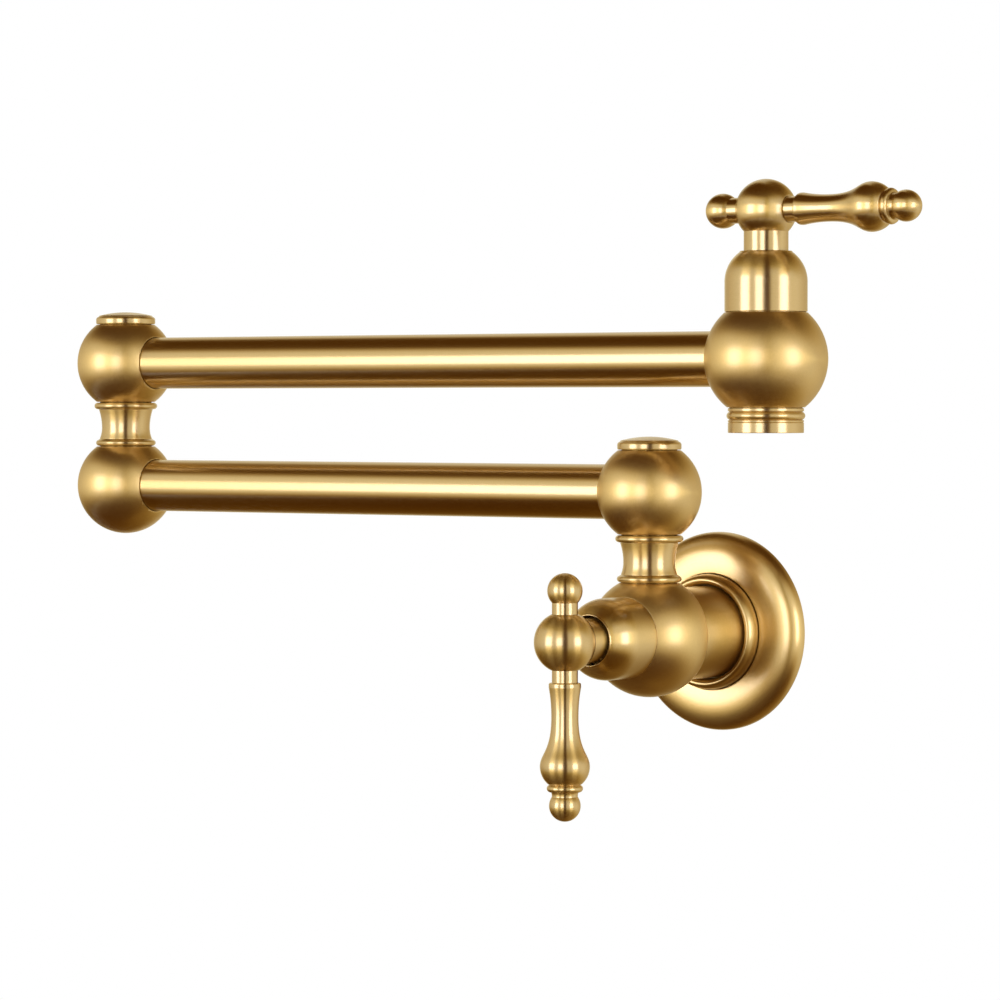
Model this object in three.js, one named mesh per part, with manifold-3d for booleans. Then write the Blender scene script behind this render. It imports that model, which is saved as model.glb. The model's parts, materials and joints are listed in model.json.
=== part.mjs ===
// Wall mounted pot filler: a two-arm folding tap fed through the wall, with one quarter-turn
// valve at the wall and one at the outlet.
// Millimetres. X runs along the wall, +Y into it and +Z up. The origin is the centre of the
// flange's back, where the supply line passes the face of the wall. At rest both arms are
// folded against the wall, the inlet lever hangs down and both valves are shut.
import * as THREE from 'three';
import { mergeVertices } from 'three/addons/utils/BufferGeometryUtils.js';
import Module from 'manifold-3d';

const wasm = await Module();
wasm.setup();

// ---- Driving dimensions --------------------------------------------------------------------

const FIT = 0.3; // gap that touching or sliding pieces keep
const BREAK = 0.4; // sharp edges are broken by this much
const OVERCUT = 1; // how far a cut runs past the face it opens

// Layout
const REACH = 47.6; // wall to the shoulder axis
const LOWER_ARM = 250; // shoulder axis to elbow axis
const UPPER_ARM = 300; // elbow axis to outlet axis

// Balls
const JOINT_BALL_R = 19;
const JOINT_SEAT_R = 11.4; // flat on a joint ball, under a cap or a spool
const VALVE_BALL_R = 22.1;
const VALVE_TOP_SEAT_R = 10.8; // flat on the valve body, under the shoulder spool
const VALVE_REAR_CUT = 7; // valve axis to the flat that faces the wall

// Arms
const TUBE_R = 10;
const TUBE_WALL = 1.4;
const TUBE_STOP = 11.5; // joint ball centre to the bottom of the tube's socket
const OUTLET_TUBE_STOP = 12.5;
const ARM_PORT_R = 5.2; // water way from a tube into its ball

// Swivel posts and what holds the turning ball on them
const POST_R = 7.7;
const POST_THREAD_R = 5.4;
const POST_THREAD = 8; // length of thread below the spool
const POST_BORE_R = 3.5;
const POST_PORT_R = 2.6; // cross holes in the post
const POST_PLUG = 1.4; // solid end between the post's water way and its screw hole
const RING_SECTION = 1.5; // thickness of the post's sealing rings
const SLIDE_RING_H = 1.3;
const SLIDE_RING_W = 1.3;
const CHAMBER_R = 10; // water chamber round the post
const CHAMBER_HALF_H = 5.6;
const ELBOW_CHAMBER_R = 6.5; // water chamber in the lower elbow ball
const WASHER_H = 1.2;
const SCREW_SHANK_R = 2.3;
const SCREW_SHANK = 4;
const SCREW_HEAD_R = 4.4;
const SCREW_HEAD_H = 2;
const SCREW_SOCKET_R = 1.7;
const SCREW_SOCKET_DEPTH = 1.4;

// Spool between a fixed ball and the ball that turns over it
const SPOOL_H = 17;
const SPOOL_WAIST_R = 9.4;
const SPOOL_WAIST_AT = 7.6; // height of its narrowest place
const SPOOL_FLARE = 1; // how far the waist has widened where it meets a bead
const SPOOL_FOOT_BEAD_R = 11.8;
const SPOOL_FOOT_BEAD_H = 2.4;
const SPOOL_TOP_BEAD_R = 12.35;
const SPOOL_TOP_BEAD_H = 2.6;

// Caps on the swivels
const CAP_R = 11.65;
const CAP_RIM_H = 3;
const CAP_DOME_H = 1.7;
const CAP_EDGE = 1.3; // rounding of the cap's upper edge
const CAP_SPIGOT_R = 9.5;
const CAP_SPIGOT_WALL = 2.2;
const CAP_SPIGOT_H = 2.2;
const CAP_BORE_DEPTH = 4.7;

// Body tail, supply nipple and sleeve
const NIPPLE_R = 10.48; // half inch pipe thread
const NIPPLE_WALL = 2.9;
const NIPPLE_CHAMFER = 0.8;
const NIPPLE_OUT = 32; // how far the nipple stands out behind the wall
const NIPPLE_GRIP = 22; // thread inside the body
const TAIL_WALL = 3.8;
const TAIL_BACK = 2.6; // tail end to the wall
const SLEEVE_WALL = 2.1;
const SLEEVE_BACK = 2; // sleeve end to the wall

// Wall flange and the collar in its middle: heights stand out from the wall
const FLANGE_R = 36.7;
const FLANGE_RIM = 1.3; // height of the upright edge at the wall
const FLANGE_SHOULDER = 5.2; // fullness of the rounding over that edge
const FLANGE_FOOT_W = 3.3; // flat ring that bears on the wall
const FLANGE_HOLLOW = 2.6; // height of the hollow behind it at its outer edge
const FLANGE_TOP = 8; // height of the face round the collar
const FACE_RUN = 9; // how far from the collar the face stays nearly flat
const FACE_RISE = 0.55; // how much its curve is lifted there
const FACE_DIP = 0.25; // how far it dips again at the collar
const FLANGE_LIP = 3; // FLANGE_TOP down to the back of the lip round the collar
const COLLAR_TOP = 12.9; // height of the collar's front
const COLLAR_W = 4; // width of the collar's rounded front
const COLLAR_STEP = 2.6; // shoulder behind the flange's lip
const COLLAR_STEP_H = 3;
const COLLAR_RING_SECTION = 1.9;
const COLLAR_RING_AT = 7;

// Valve: heights are measured along the stem from the ball's centre
const CAVITY_R = 9.2;
const CAVITY_FLOOR = 8; // ball centre down to the seat
const CAVITY_TOP = 6.2;
const WATERWAY_R = 5.5;
const THREAD_R = 10.5; // cartridge thread
const COLLAR_NUT_R = 12.3; // bonnet thread on the cartridge
const COLLAR_NUT_H = 7;
const CARTRIDGE_NECK_R = 7.3;
const CARTRIDGE_H = 16.6; // ball's flat to the top of the cartridge
const DISC_ROOM_R = 7.2;
const DISC_H = 3;
const DISC_PORT_R = 1.9;
const DISC_PORT_AT = 3.7;
const SEAL_H = 2;
const SEAL_W = 2.1;
const STEM_R = 3.9;
const STEM_FOOT_H = 3.2;
const WINDOW_W = 7;
const WINDOW_H = 5;

// Bell shaped bonnet
const BELL_R = 14.8;
const BELL_H = 21.5;
const BELL_STRAIGHT = 10.6; // height of its straight skirt
const BELL_WALL = 2.2;
const BELL_MOUTH_R = 8.95;
const BELL_LIP = 0.5; // rounded edge round the mouth

// Handle
const HUB_R = 11;
const HUB_NECK_R = 8;
const HUB_NECK_SHOW = 7; // neck between the bell and the hub ball
const HUB_BORE_GRIP = 13.6; // stem inside the hub
const SPOT_DEPTH = 0.4; // spot facing under each neck
const STUD_R = 3;
const STUD_L = 8.2;
const NECK_R = 4.65; // neck of the lever and of the finial
const FINIAL_AT = 18.2;
const FINIAL_R = 6.3;
const GRUB_R = 1.9;
const GRUB_SOCKET_R = 1.1;

// Lever outline along its length from the hub's centre
const LEVER_COLLAR_AT = 14.3;
const LEVER_COLLAR_R = 5.75;
const LEVER_COLLAR_H = 1.8;
const LEVER_WAIST_AT = 26.5;
const LEVER_WAIST_R = 4.85;
const LEVER_BULB_AT = 43.8;
const LEVER_BULB_R = 8.9;
const LEVER_BULB_END = 50;
const LEVER_BULB_END_R = 6.1;
const LEVER_BEAD_R = 6.45;
const LEVER_BEAD_H = 2.8;
const LEVER_GROOVE_R = 4.6;
const LEVER_GROOVE_W = 1;
const LEVER_BALL_AT = 57.7;
const LEVER_BALL_R = 5.6;

// Aerator: heights are measured from its shoulder under the outlet ball
const AERATOR_R = 13.55;
const AERATOR_H = 8.8;
const AERATOR_BEAD_R = 14;
const AERATOR_BEAD_H = 3;
const AERATOR_BEAD_AT = 2.7;
const AERATOR_GROOVE_AT = 5;
const AERATOR_THREAD_R = 12; // standard 24 mm aerator thread
const AERATOR_THREAD_H = 4.8;
const AERATOR_BORE_R = 9.6;
const AERATOR_LIP = 1;
const AERATOR_WASHER_H = 1.5;
const AERATOR_HOLE_R = 1.5;
const AERATOR_HOLES = 6; // round the one in the middle
const AERATOR_HOLE_RING = 5.6;

// Facets
const FINE = 24;
const MEDIUM = 16;
const SMALL = 12;
const PORT = 8; // small drilled holes
const HEX = 6;
const RING_SIDES = 5; // round the section of a sealing ring
const WELD = 1e-4;

// ---- Worked out from them ------------------------------------------------------------------

const chord = (radius, offset) => Math.sqrt(radius ** 2 - offset ** 2);

const jointFlat = chord(JOINT_BALL_R, JOINT_SEAT_R);
const valveTopFlat = chord(VALVE_BALL_R, VALVE_TOP_SEAT_R);
const bellFlat = chord(VALVE_BALL_R, BELL_R);
const aeratorFlat = chord(VALVE_BALL_R, AERATOR_R + FIT);
const spoolGap = SPOOL_H + 2 * FIT;
const shoulderZ = valveTopFlat + spoolGap + jointFlat;
const elbowRise = 2 * jointFlat + spoolGap;
const bellTip = bellFlat + FIT + BELL_H;
const hubAt = bellTip + HUB_NECK_SHOW + chord(HUB_R, HUB_NECK_R);
const neckSeat = chord(HUB_R, NECK_R + FIT) - SPOT_DEPTH; // hub centre to a neck's spot face
const cartridgeTop = bellFlat + CARTRIDGE_H;
const hubFoot = cartridgeTop + FIT;
const stemTop = hubFoot + HUB_BORE_GRIP;
const capLedge = jointFlat - CAP_BORE_DEPTH;
const ringPocketTop = -jointFlat + SLIDE_RING_H + FIT;
const postThreadFoot = -jointFlat - spoolGap - POST_THREAD;
const tailR = NIPPLE_R + FIT + TAIL_WALL;
const sleeveR = tailR + FIT + SLEEVE_WALL;
const collarBoreR = sleeveR + FIT;
const collarR = collarBoreR + COLLAR_W;

// ---- Outlines and solids -------------------------------------------------------------------

// An outline is a list of [radius, height] points, anticlockwise with the radius to the right.

// Round stretch, or an oval one where its half height differs from its radius.
function arc(centreR, centreH, radius, from, to, steps, halfH = radius) {
  return Array.from({ length: steps + 1 }, (_, i) => {
    const angle = from + ((to - from) * i) / steps;
    return [centreR + radius * Math.cos(angle), centreH + halfH * Math.sin(angle)];
  });
}

function bend(start, leave, arrive, end, steps) {
  const [a, b, c, d] = [start, leave, arrive, end].map((at) => new THREE.Vector2(...at));
  return new THREE.CubicBezierCurve(a, b, c, d).getPoints(steps).map(({ x, y }) => [x, y]);
}

// Curve that leaves and arrives along the height; the shares say for how much of the way.
function swell([startR, startH], [endR, endH], leaveShare, arriveShare, steps) {
  const rise = endH - startH;
  const leave = [startR, startH + leaveShare * rise];
  const arrive = [endR, endH - arriveShare * rise];
  return bend([startR, startH], leave, arrive, [endR, endH], steps);
}

// Side of a ball whose centre is at a height, between two heights measured from that centre.
function ballSide(radius, low, high, steps, centre = 0) {
  return arc(0, centre, radius, Math.asin(low / radius), Math.asin(high / radius), steps);
}

// Rounded ridge that stands out to a radius between two heights.
function bead(radius, low, high) {
  const half = (high - low) / 2;
  return arc(radius - half, low + half, half, -Math.PI / 3, Math.PI / 3, 3);
}

// A closed three.js geometry as a solid that can be cut and joined.
function solid(geometry) {
  const bare = new THREE.BufferGeometry();
  bare.setAttribute('position', geometry.getAttribute('position'));
  bare.setIndex(geometry.index);
  const merged = mergeVertices(bare, WELD);
  const corners = merged.index.array;
  const triangles = [];
  for (let i = 0; i < corners.length; i += 3) {
    const [a, b, c] = corners.slice(i, i + 3);
    if (a !== b && b !== c && c !== a) triangles.push(a, b, c);
  }
  const vertProperties = new Float32Array(merged.getAttribute('position').array);
  const mesh = { numProp: 3, vertProperties, triVerts: Uint32Array.from(triangles) };
  return new wasm.Manifold(new wasm.Mesh(mesh));
}

// The outline turned about Z. It starts and ends on the axis, or else closes on itself.
function turn(outline, sides) {
  const ring = outline[0][0] === 0 ? outline : [...outline, outline[0]];
  const points = ring.map(([radius, height]) => new THREE.Vector2(radius, height));
  return solid(new THREE.LatheGeometry(points, sides).rotateX(Math.PI / 2));
}

const ringOutline = (innerR, outerR, low, high) => [
  [innerR, low],
  [outerR, low],
  [outerR, high],
  [innerR, high],
];

// A round bar to cut with, along x, y or z, from one place on that axis to another.
function bar(radius, from, to, axis, sides, [x, y, z] = [0, 0, 0]) {
  const geometry = new THREE.CylinderGeometry(radius, radius, Math.abs(to - from), sides);
  geometry.translate(0, (from + to) / 2, 0);
  if (axis === 'x') geometry.rotateZ(-Math.PI / 2);
  if (axis === 'z') geometry.rotateX(Math.PI / 2);
  return solid(geometry.translate(x, y, z));
}

function block(width, depth, height, [x, y, z]) {
  return solid(new THREE.BoxGeometry(width, depth, height).translate(x, y, z));
}

function sealingRing(boreR, section, sides) {
  return solid(new THREE.TorusGeometry(boreR + section / 2, section / 2, RING_SIDES, sides));
}

// ---- Materials -----------------------------------------------------------------------------

const finish = (color, roughness, metalness) =>
  new THREE.MeshStandardMaterial({ color, roughness, metalness });

const gold = finish(0xc79a4b, 0.3, 1);
const brass = finish(0xb5924c, 0.45, 1);
const steel = finish(0xa7a9ab, 0.35, 1);
const rubber = finish(0x1d1d1f, 0.85, 0);
const ceramic = finish(0xe9e6de, 0.4, 0);
const nylon = finish(0xd8d8d2, 0.6, 0);

// ---- Scene graph ---------------------------------------------------------------------------

const potFiller = new THREE.Group();

function place(parent, name, shape, material) {
  const { vertProperties, triVerts } = shape.getMesh();
  const geometry = new THREE.BufferGeometry();
  geometry.setAttribute('position', new THREE.BufferAttribute(vertProperties, 3));
  geometry.setIndex(new THREE.BufferAttribute(triVerts, 1));
  geometry.computeVertexNormals();
  const mesh = new THREE.Mesh(geometry, material);
  mesh.name = name;
  parent.add(mesh);
  return mesh;
}

function group(parent, x, y, z) {
  const child = new THREE.Group();
  child.position.set(x, y, z);
  parent.add(child);
  return child;
}

// ---- Arms ----------------------------------------------------------------------------------

function armTube(length, nearStop, farStop) {
  const ends = [nearStop + FIT, length - farStop - FIT];
  return turn(ringOutline(TUBE_R - TUBE_WALL, TUBE_R, ...ends), FINE);
}

// Socket for a tube on one side (+1 or -1 along X) of a ball, and the water way behind it.
function tubeSocket(body, side, stop, chamberR) {
  const socket = bar(TUBE_R + FIT, side * stop, side * (VALVE_BALL_R + OVERCUT), 'x', FINE);
  const port = bar(ARM_PORT_R, side * (chamberR - OVERCUT), side * (stop + OVERCUT), 'x', SMALL);
  return body.subtract(socket).subtract(port);
}

// ---- Swivel: post, spool, rings, washer, screw and the ball that turns on them ---------------

// Heights in a swivel are measured from the centre of the ball that turns.

const sealHeights = [
  (ringPocketTop - CHAMBER_HALF_H) / 2, // below the chamber
  (CHAMBER_HALF_H + capLedge) / 2, // above it
];
const grooveR = POST_R - RING_SECTION - FIT;

function post() {
  const shoulder = -jointFlat - spoolGap + FIT;
  const screwFloor = capLedge - SCREW_SHANK - FIT;
  const grooveHalf = RING_SECTION / 2 + FIT;
  const grooves = sealHeights.flatMap((height) => [
    [POST_R, height - grooveHalf],
    [grooveR, height - grooveHalf],
    [grooveR, height + grooveHalf],
    [POST_R, height + grooveHalf],
  ]);
  const outline = [
    [0, screwFloor - POST_PLUG],
    [POST_BORE_R, screwFloor - POST_PLUG],
    [POST_BORE_R, postThreadFoot],
    [POST_THREAD_R, postThreadFoot],
    [POST_THREAD_R, shoulder],
    [POST_R, shoulder],
    ...grooves,
    [POST_R, capLedge],
    [SCREW_SHANK_R + FIT, capLedge],
    [SCREW_SHANK_R + FIT, screwFloor],
    [0, screwFloor],
  ];
  const side = POST_R + OVERCUT;
  return turn(outline, MEDIUM)
    .subtract(bar(POST_PORT_R, -side, side, 'x', PORT))
    .subtract(bar(POST_PORT_R, -side, side, 'y', PORT));
}

function spool() {
  const bore = POST_R + FIT;
  const topBeadFoot = SPOOL_H - SPOOL_TOP_BEAD_H;
  const flareR = SPOOL_WAIST_R + SPOOL_FLARE;
  const waist = [SPOOL_WAIST_R, SPOOL_WAIST_AT];
  return turn([
    [bore, 0],
    [SPOOL_FOOT_BEAD_R - SPOOL_FOOT_BEAD_H / 2, 0],
    ...bead(SPOOL_FOOT_BEAD_R, 0, SPOOL_FOOT_BEAD_H),
    ...swell([flareR, SPOOL_FOOT_BEAD_H + BREAK], waist, 0, 0.6, 2),
    ...swell(waist, [flareR, topBeadFoot], 0.6, 0, 3).slice(1),
    ...bead(SPOOL_TOP_BEAD_R, topBeadFoot, SPOOL_H),
    [SPOOL_TOP_BEAD_R - SPOOL_TOP_BEAD_H / 2, SPOOL_H],
    [bore, SPOOL_H],
  ], MEDIUM);
}

// Ring under the ball that turns, which keeps it off the spool.
function slideRing() {
  const bore = POST_R + FIT;
  return turn(ringOutline(bore, bore + SLIDE_RING_W, 0, SLIDE_RING_H), MEDIUM);
}

function retainingWasher() {
  return turn(ringOutline(SCREW_SHANK_R + FIT, CAP_SPIGOT_R, 0, WASHER_H), MEDIUM);
}

// Its height runs from the underside of its head.
function retainingScrew() {
  const shankFoot = -(SCREW_SHANK + 2 * FIT + WASHER_H);
  const screw = turn([
    [0, shankFoot],
    [SCREW_SHANK_R, shankFoot],
    [SCREW_SHANK_R, 0],
    [SCREW_HEAD_R, 0],
    [SCREW_HEAD_R, SCREW_HEAD_H],
    [0, SCREW_HEAD_H],
  ], SMALL);
  const socketFloor = SCREW_HEAD_H - SCREW_SOCKET_DEPTH;
  return screw.subtract(bar(SCREW_SOCKET_R, socketFloor, SCREW_HEAD_H + OVERCUT, 'z', HEX));
}

function cap() {
  const domeR = (CAP_R ** 2 + CAP_DOME_H ** 2) / (2 * CAP_DOME_H);
  const domeHalfAngle = Math.asin((CAP_R - CAP_EDGE) / domeR);
  const domeCentre = CAP_RIM_H + CAP_DOME_H - domeR;
  const spigotBore = CAP_SPIGOT_R - CAP_SPIGOT_WALL;
  return turn([
    [0, 0],
    [spigotBore, 0],
    [spigotBore, -CAP_SPIGOT_H],
    [CAP_SPIGOT_R, -CAP_SPIGOT_H],
    [CAP_SPIGOT_R, 0],
    [CAP_R - BREAK, 0],
    [CAP_R, BREAK],
    ...arc(CAP_R - CAP_EDGE, CAP_RIM_H - CAP_EDGE, CAP_EDGE, 0, Math.PI / 2.4, 2),
    ...arc(0, domeCentre, domeR, Math.PI / 2 - domeHalfAngle, Math.PI / 2, 2).slice(0, -1),
    [0, CAP_RIM_H + CAP_DOME_H],
  ], MEDIUM);
}

// Ball that turns on a post, with the socket of its tube on one side.
function swivelBall(tubeSide) {
  const bore = POST_R + FIT;
  const pocketR = bore + SLIDE_RING_W + FIT;
  const body = turn([
    [pocketR, -jointFlat],
    ...ballSide(JOINT_BALL_R, -jointFlat, jointFlat, 9),
    [CAP_SPIGOT_R + FIT, jointFlat],
    [CAP_SPIGOT_R + FIT, capLedge],
    [bore, capLedge],
    [bore, CHAMBER_HALF_H],
    [CHAMBER_R, CHAMBER_HALF_H],
    [CHAMBER_R, -CHAMBER_HALF_H],
    [bore, -CHAMBER_HALF_H],
    [bore, ringPocketTop],
    [pocketR, ringPocketTop],
  ], FINE);
  return tubeSocket(body, tubeSide, TUBE_STOP, CHAMBER_R);
}

// Adds the fixed half of a swivel to one group and the turning half to another; both groups
// have their origin at the centre of the ball that turns.
function addSwivel(fixed, turning, name, turningBallName, tubeSide) {
  place(fixed, `${name}_post`, post(), brass);
  place(fixed, `${name}_spool`, spool(), gold).position.z = -jointFlat - spoolGap + FIT;
  sealHeights.forEach((height, i) => {
    const ring = sealingRing(grooveR + FIT, RING_SECTION, SMALL);
    place(fixed, `${name}_o_ring_${i + 1}`, ring, rubber).position.z = height;
  });
  place(fixed, `${name}_slide_ring`, slideRing(), nylon).position.z = -jointFlat;
  const washer = place(fixed, `${name}_retaining_washer`, retainingWasher(), brass);
  washer.position.z = capLedge + FIT;
  const screw = place(fixed, `${name}_retaining_screw`, retainingScrew(), steel);
  screw.position.z = capLedge + 2 * FIT + WASHER_H;

  place(turning, turningBallName, swivelBall(tubeSide), gold);
  place(turning, `${name}_cap`, cap(), gold).position.z = jointFlat + FIT;
}

// Fixed ball under the elbow's spool.
function elbowLowerBall() {
  const boreR = POST_THREAD_R + FIT;
  const boreFloor = elbowRise + postThreadFoot - FIT;
  const body = turn([
    [0, -JOINT_BALL_R],
    ...ballSide(JOINT_BALL_R, -JOINT_BALL_R, jointFlat, 10).slice(1),
    [boreR, jointFlat],
    [boreR, boreFloor],
    [ELBOW_CHAMBER_R, boreFloor],
    [ELBOW_CHAMBER_R, -ELBOW_CHAMBER_R],
    [0, -ELBOW_CHAMBER_R],
  ], FINE);
  return tubeSocket(body, 1, TUBE_STOP, ELBOW_CHAMBER_R);
}

// ---- Valve: cartridge, discs, bell and handle ----------------------------------------------

const discFloor = -CAVITY_FLOOR + FIT + SEAL_H + FIT;
const movingDiscFloor = discFloor + DISC_H + FIT;
const stemFoot = movingDiscFloor + DISC_H + FIT;
const discRoomTop = stemFoot + STEM_FOOT_H + FIT;
const fixedDiscR = DISC_ROOM_R - FIT;
const movingDiscR = fixedDiscR - FIT / 2;

// Inside of a valve ball from its front flat down to the seat, going down the cavity's wall.
const valveBore = [
  [THREAD_R + FIT, bellFlat],
  [THREAD_R + FIT, CAVITY_TOP],
  [CAVITY_R, CAVITY_TOP],
  [CAVITY_R, -CAVITY_FLOOR],
  [WATERWAY_R, -CAVITY_FLOOR],
];

function cartridgeBody() {
  const floor = -CAVITY_FLOOR + FIT + SEAL_H / 2;
  const threadFrom = CAVITY_TOP + FIT;
  const nutFoot = bellFlat + FIT;
  const body = turn([
    [DISC_ROOM_R, floor],
    [CAVITY_R - FIT, floor],
    [CAVITY_R - FIT, threadFrom],
    [THREAD_R, threadFrom],
    [THREAD_R, nutFoot],
    [COLLAR_NUT_R, nutFoot],
    [COLLAR_NUT_R, nutFoot + COLLAR_NUT_H],
    [CARTRIDGE_NECK_R, nutFoot + COLLAR_NUT_H],
    [CARTRIDGE_NECK_R, cartridgeTop],
    [STEM_R + FIT, cartridgeTop],
    [STEM_R + FIT, discRoomTop],
    [DISC_ROOM_R, discRoomTop],
  ], MEDIUM);
  const windowAt = [0, 0, movingDiscFloor + WINDOW_H / 2];
  return body.subtract(block(2 * (CAVITY_R + OVERCUT), WINDOW_W, WINDOW_H, windowAt));
}

function disc(radius, portAxis) {
  const plate = turn([[0, 0], [radius, 0], [radius, DISC_H], [0, DISC_H]], MEDIUM);
  return [-DISC_PORT_AT, DISC_PORT_AT].reduce((rest, at) => {
    const centre = portAxis === 'x' ? [at, 0, 0] : [0, at, 0];
    return rest.subtract(bar(DISC_PORT_R, -OVERCUT, DISC_H + OVERCUT, 'z', PORT, centre));
  }, plate);
}

function seatSeal() {
  return turn(ringOutline(fixedDiscR - SEAL_W, fixedDiscR, 0, SEAL_H), MEDIUM);
}

function stem() {
  return turn([
    [0, stemFoot],
    [movingDiscR, stemFoot],
    [movingDiscR, stemFoot + STEM_FOOT_H],
    [STEM_R, stemFoot + STEM_FOOT_H],
    [STEM_R, stemTop],
    [0, stemTop],
  ], SMALL);
}

function bell() {
  const drop = BELL_R - BELL_MOUTH_R - BELL_LIP;
  const rise = BELL_H - BREAK - BELL_STRAIGHT;
  const domeR = (rise ** 2 + drop ** 2) / (2 * drop);
  const domeCentre = BELL_R - domeR;
  const innerR = domeR - BELL_WALL;
  const innerEnd = Math.acos((BELL_MOUTH_R - domeCentre) / innerR);
  return turn([
    [BELL_R - BELL_WALL, 0],
    [BELL_R, 0],
    ...arc(domeCentre, BELL_STRAIGHT, domeR, 0, Math.asin(rise / domeR), 5),
    [BELL_MOUTH_R + BELL_LIP / 2, BELL_H],
    [BELL_MOUTH_R, BELL_H - BREAK],
    ...arc(domeCentre, BELL_STRAIGHT, innerR, innerEnd, 0, 2),
  ], MEDIUM);
}

function hub() {
  const neckMeets = -chord(HUB_R, HUB_NECK_R);
  const foot = hubFoot - hubAt;
  const stemRoof = stemTop + FIT - hubAt;
  const body = turn([
    [0, stemRoof],
    [STEM_R + FIT, stemRoof],
    [STEM_R + FIT, foot],
    [HUB_NECK_R, foot],
    ...ballSide(HUB_R, neckMeets, HUB_R, 7).slice(0, -1),
    [0, HUB_R],
  ], MEDIUM);
  const outside = HUB_R + OVERCUT;
  const grubAt = [0, 0, bellTip + HUB_NECK_SHOW / 2 - hubAt];
  return body
    .subtract(bar(STUD_R + FIT, -outside, outside, 'x', SMALL))
    .subtract(bar(NECK_R + FIT, neckSeat, outside, 'x', SMALL))
    .subtract(bar(NECK_R + FIT, -outside, -neckSeat, 'x', SMALL))
    .subtract(bar(GRUB_R + FIT, STEM_R, HUB_NECK_R + OVERCUT, 'y', PORT, grubAt));
}

// Stud and neck of the lever or the finial, up to where the neck ends.
const studOutline = [
  [0, neckSeat + FIT - STUD_L],
  [STUD_R, neckSeat + FIT - STUD_L],
  [STUD_R, neckSeat + FIT],
  [NECK_R, neckSeat + FIT],
];

function lever() {
  const waist = [LEVER_WAIST_R, LEVER_WAIST_AT];
  const bulbTurn = Math.acos(LEVER_BULB_END_R / LEVER_BULB_R);
  const bulbHalfLength = (LEVER_BULB_END - LEVER_BULB_AT) / Math.sin(bulbTurn);
  const ballMeets = -chord(LEVER_BALL_R, LEVER_GROOVE_R);
  return turn([
    ...studOutline,
    [NECK_R, LEVER_COLLAR_AT],
    [LEVER_COLLAR_R - BREAK, LEVER_COLLAR_AT],
    [LEVER_COLLAR_R, LEVER_COLLAR_AT + LEVER_COLLAR_H / 2],
    ...swell([LEVER_COLLAR_R, LEVER_COLLAR_AT + LEVER_COLLAR_H], waist, 0, 0.6, 2),
    ...swell(waist, [LEVER_BULB_R, LEVER_BULB_AT], 0.7, 0.26, 5).slice(1),
    ...arc(0, LEVER_BULB_AT, LEVER_BULB_R, 0, bulbTurn, 3, bulbHalfLength).slice(1),
    ...bead(LEVER_BEAD_R, LEVER_BULB_END, LEVER_BULB_END + LEVER_BEAD_H),
    [LEVER_GROOVE_R, LEVER_BALL_AT + ballMeets - LEVER_GROOVE_W],
    ...ballSide(LEVER_BALL_R, ballMeets, LEVER_BALL_R, 5, LEVER_BALL_AT).slice(0, -1),
    [0, LEVER_BALL_AT + LEVER_BALL_R],
  ], SMALL);
}

function finial() {
  const neckMeets = -chord(FINIAL_R, NECK_R);
  return turn([
    ...studOutline,
    ...ballSide(FINIAL_R, neckMeets, FINIAL_R, 6, FINIAL_AT).slice(0, -1),
    [0, FINIAL_AT + FINIAL_R],
  ], SMALL);
}

function grubScrew() {
  const tip = STEM_R + FIT;
  const end = HUB_NECK_R - FIT;
  const socket = bar(GRUB_SOCKET_R, (tip + end) / 2, end + OVERCUT, 'y', HEX);
  return bar(GRUB_R, tip, end, 'y', PORT).subtract(socket);
}

// Fixed half of a valve; windowTurn is the angle of the cartridge's windows about the stem.
function addCartridge(parent, name, windowTurn) {
  place(parent, `${name}_cartridge_body`, cartridgeBody(), brass).rotation.z = windowTurn;
  place(parent, `${name}_seat_seal`, seatSeal(), rubber).position.z = -CAVITY_FLOOR + FIT;
  place(parent, `${name}_fixed_disc`, disc(fixedDiscR, 'x'), ceramic).position.z = discFloor;
  place(parent, `${name}_bonnet`, bell(), gold).position.z = bellFlat + FIT;
}

// Turning half of a valve, with its lever along the group's +X; grubTurn is the angle of the grub
// screw about the stem, counted from the group's +Y.
function addHandle(parent, name, grubTurn) {
  const movingDisc = place(parent, `${name}_moving_disc`, disc(movingDiscR, 'y'), ceramic);
  movingDisc.position.z = movingDiscFloor;
  place(parent, `${name}_stem`, stem(), brass);
  const handleHub = place(parent, `${name}_handle_hub`, hub(), gold);
  handleHub.position.z = hubAt;
  handleHub.rotation.z = grubTurn;
  const blade = place(parent, `${name}_lever`, lever(), gold);
  blade.position.z = hubAt;
  blade.rotation.y = Math.PI / 2;
  const knob = place(parent, `${name}_finial`, finial(), gold);
  knob.position.z = hubAt;
  knob.rotation.y = -Math.PI / 2;
  const screw = place(parent, `${name}_grub_screw`, grubScrew(), steel);
  screw.position.z = bellTip + HUB_NECK_SHOW / 2;
  screw.rotation.z = grubTurn;
}

// ---- Valve body at the wall ----------------------------------------------------------------

// Its own axis is the stem's: +Z points away from the wall and +Y up.
function valveBody() {
  const tailEnd = -(REACH - TAIL_BACK);
  const nippleStop = tailEnd + NIPPLE_GRIP;
  const nippleBoreR = NIPPLE_R + FIT;
  const body = turn([
    [nippleBoreR, tailEnd],
    [tailR, tailEnd],
    [tailR, -VALVE_REAR_CUT],
    ...ballSide(VALVE_BALL_R, -VALVE_REAR_CUT, bellFlat, 7),
    ...valveBore,
    [WATERWAY_R, nippleStop],
    [nippleBoreR, nippleStop],
  ], FINE);
  const above = 2 * VALVE_BALL_R;
  const topCut = block(above, above, above, [0, valveTopFlat + above / 2, 0]);
  const postBore = bar(POST_THREAD_R + FIT, CAVITY_R - OVERCUT, VALVE_BALL_R, 'y', MEDIUM);
  return body.subtract(topCut).subtract(postBore);
}

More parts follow.
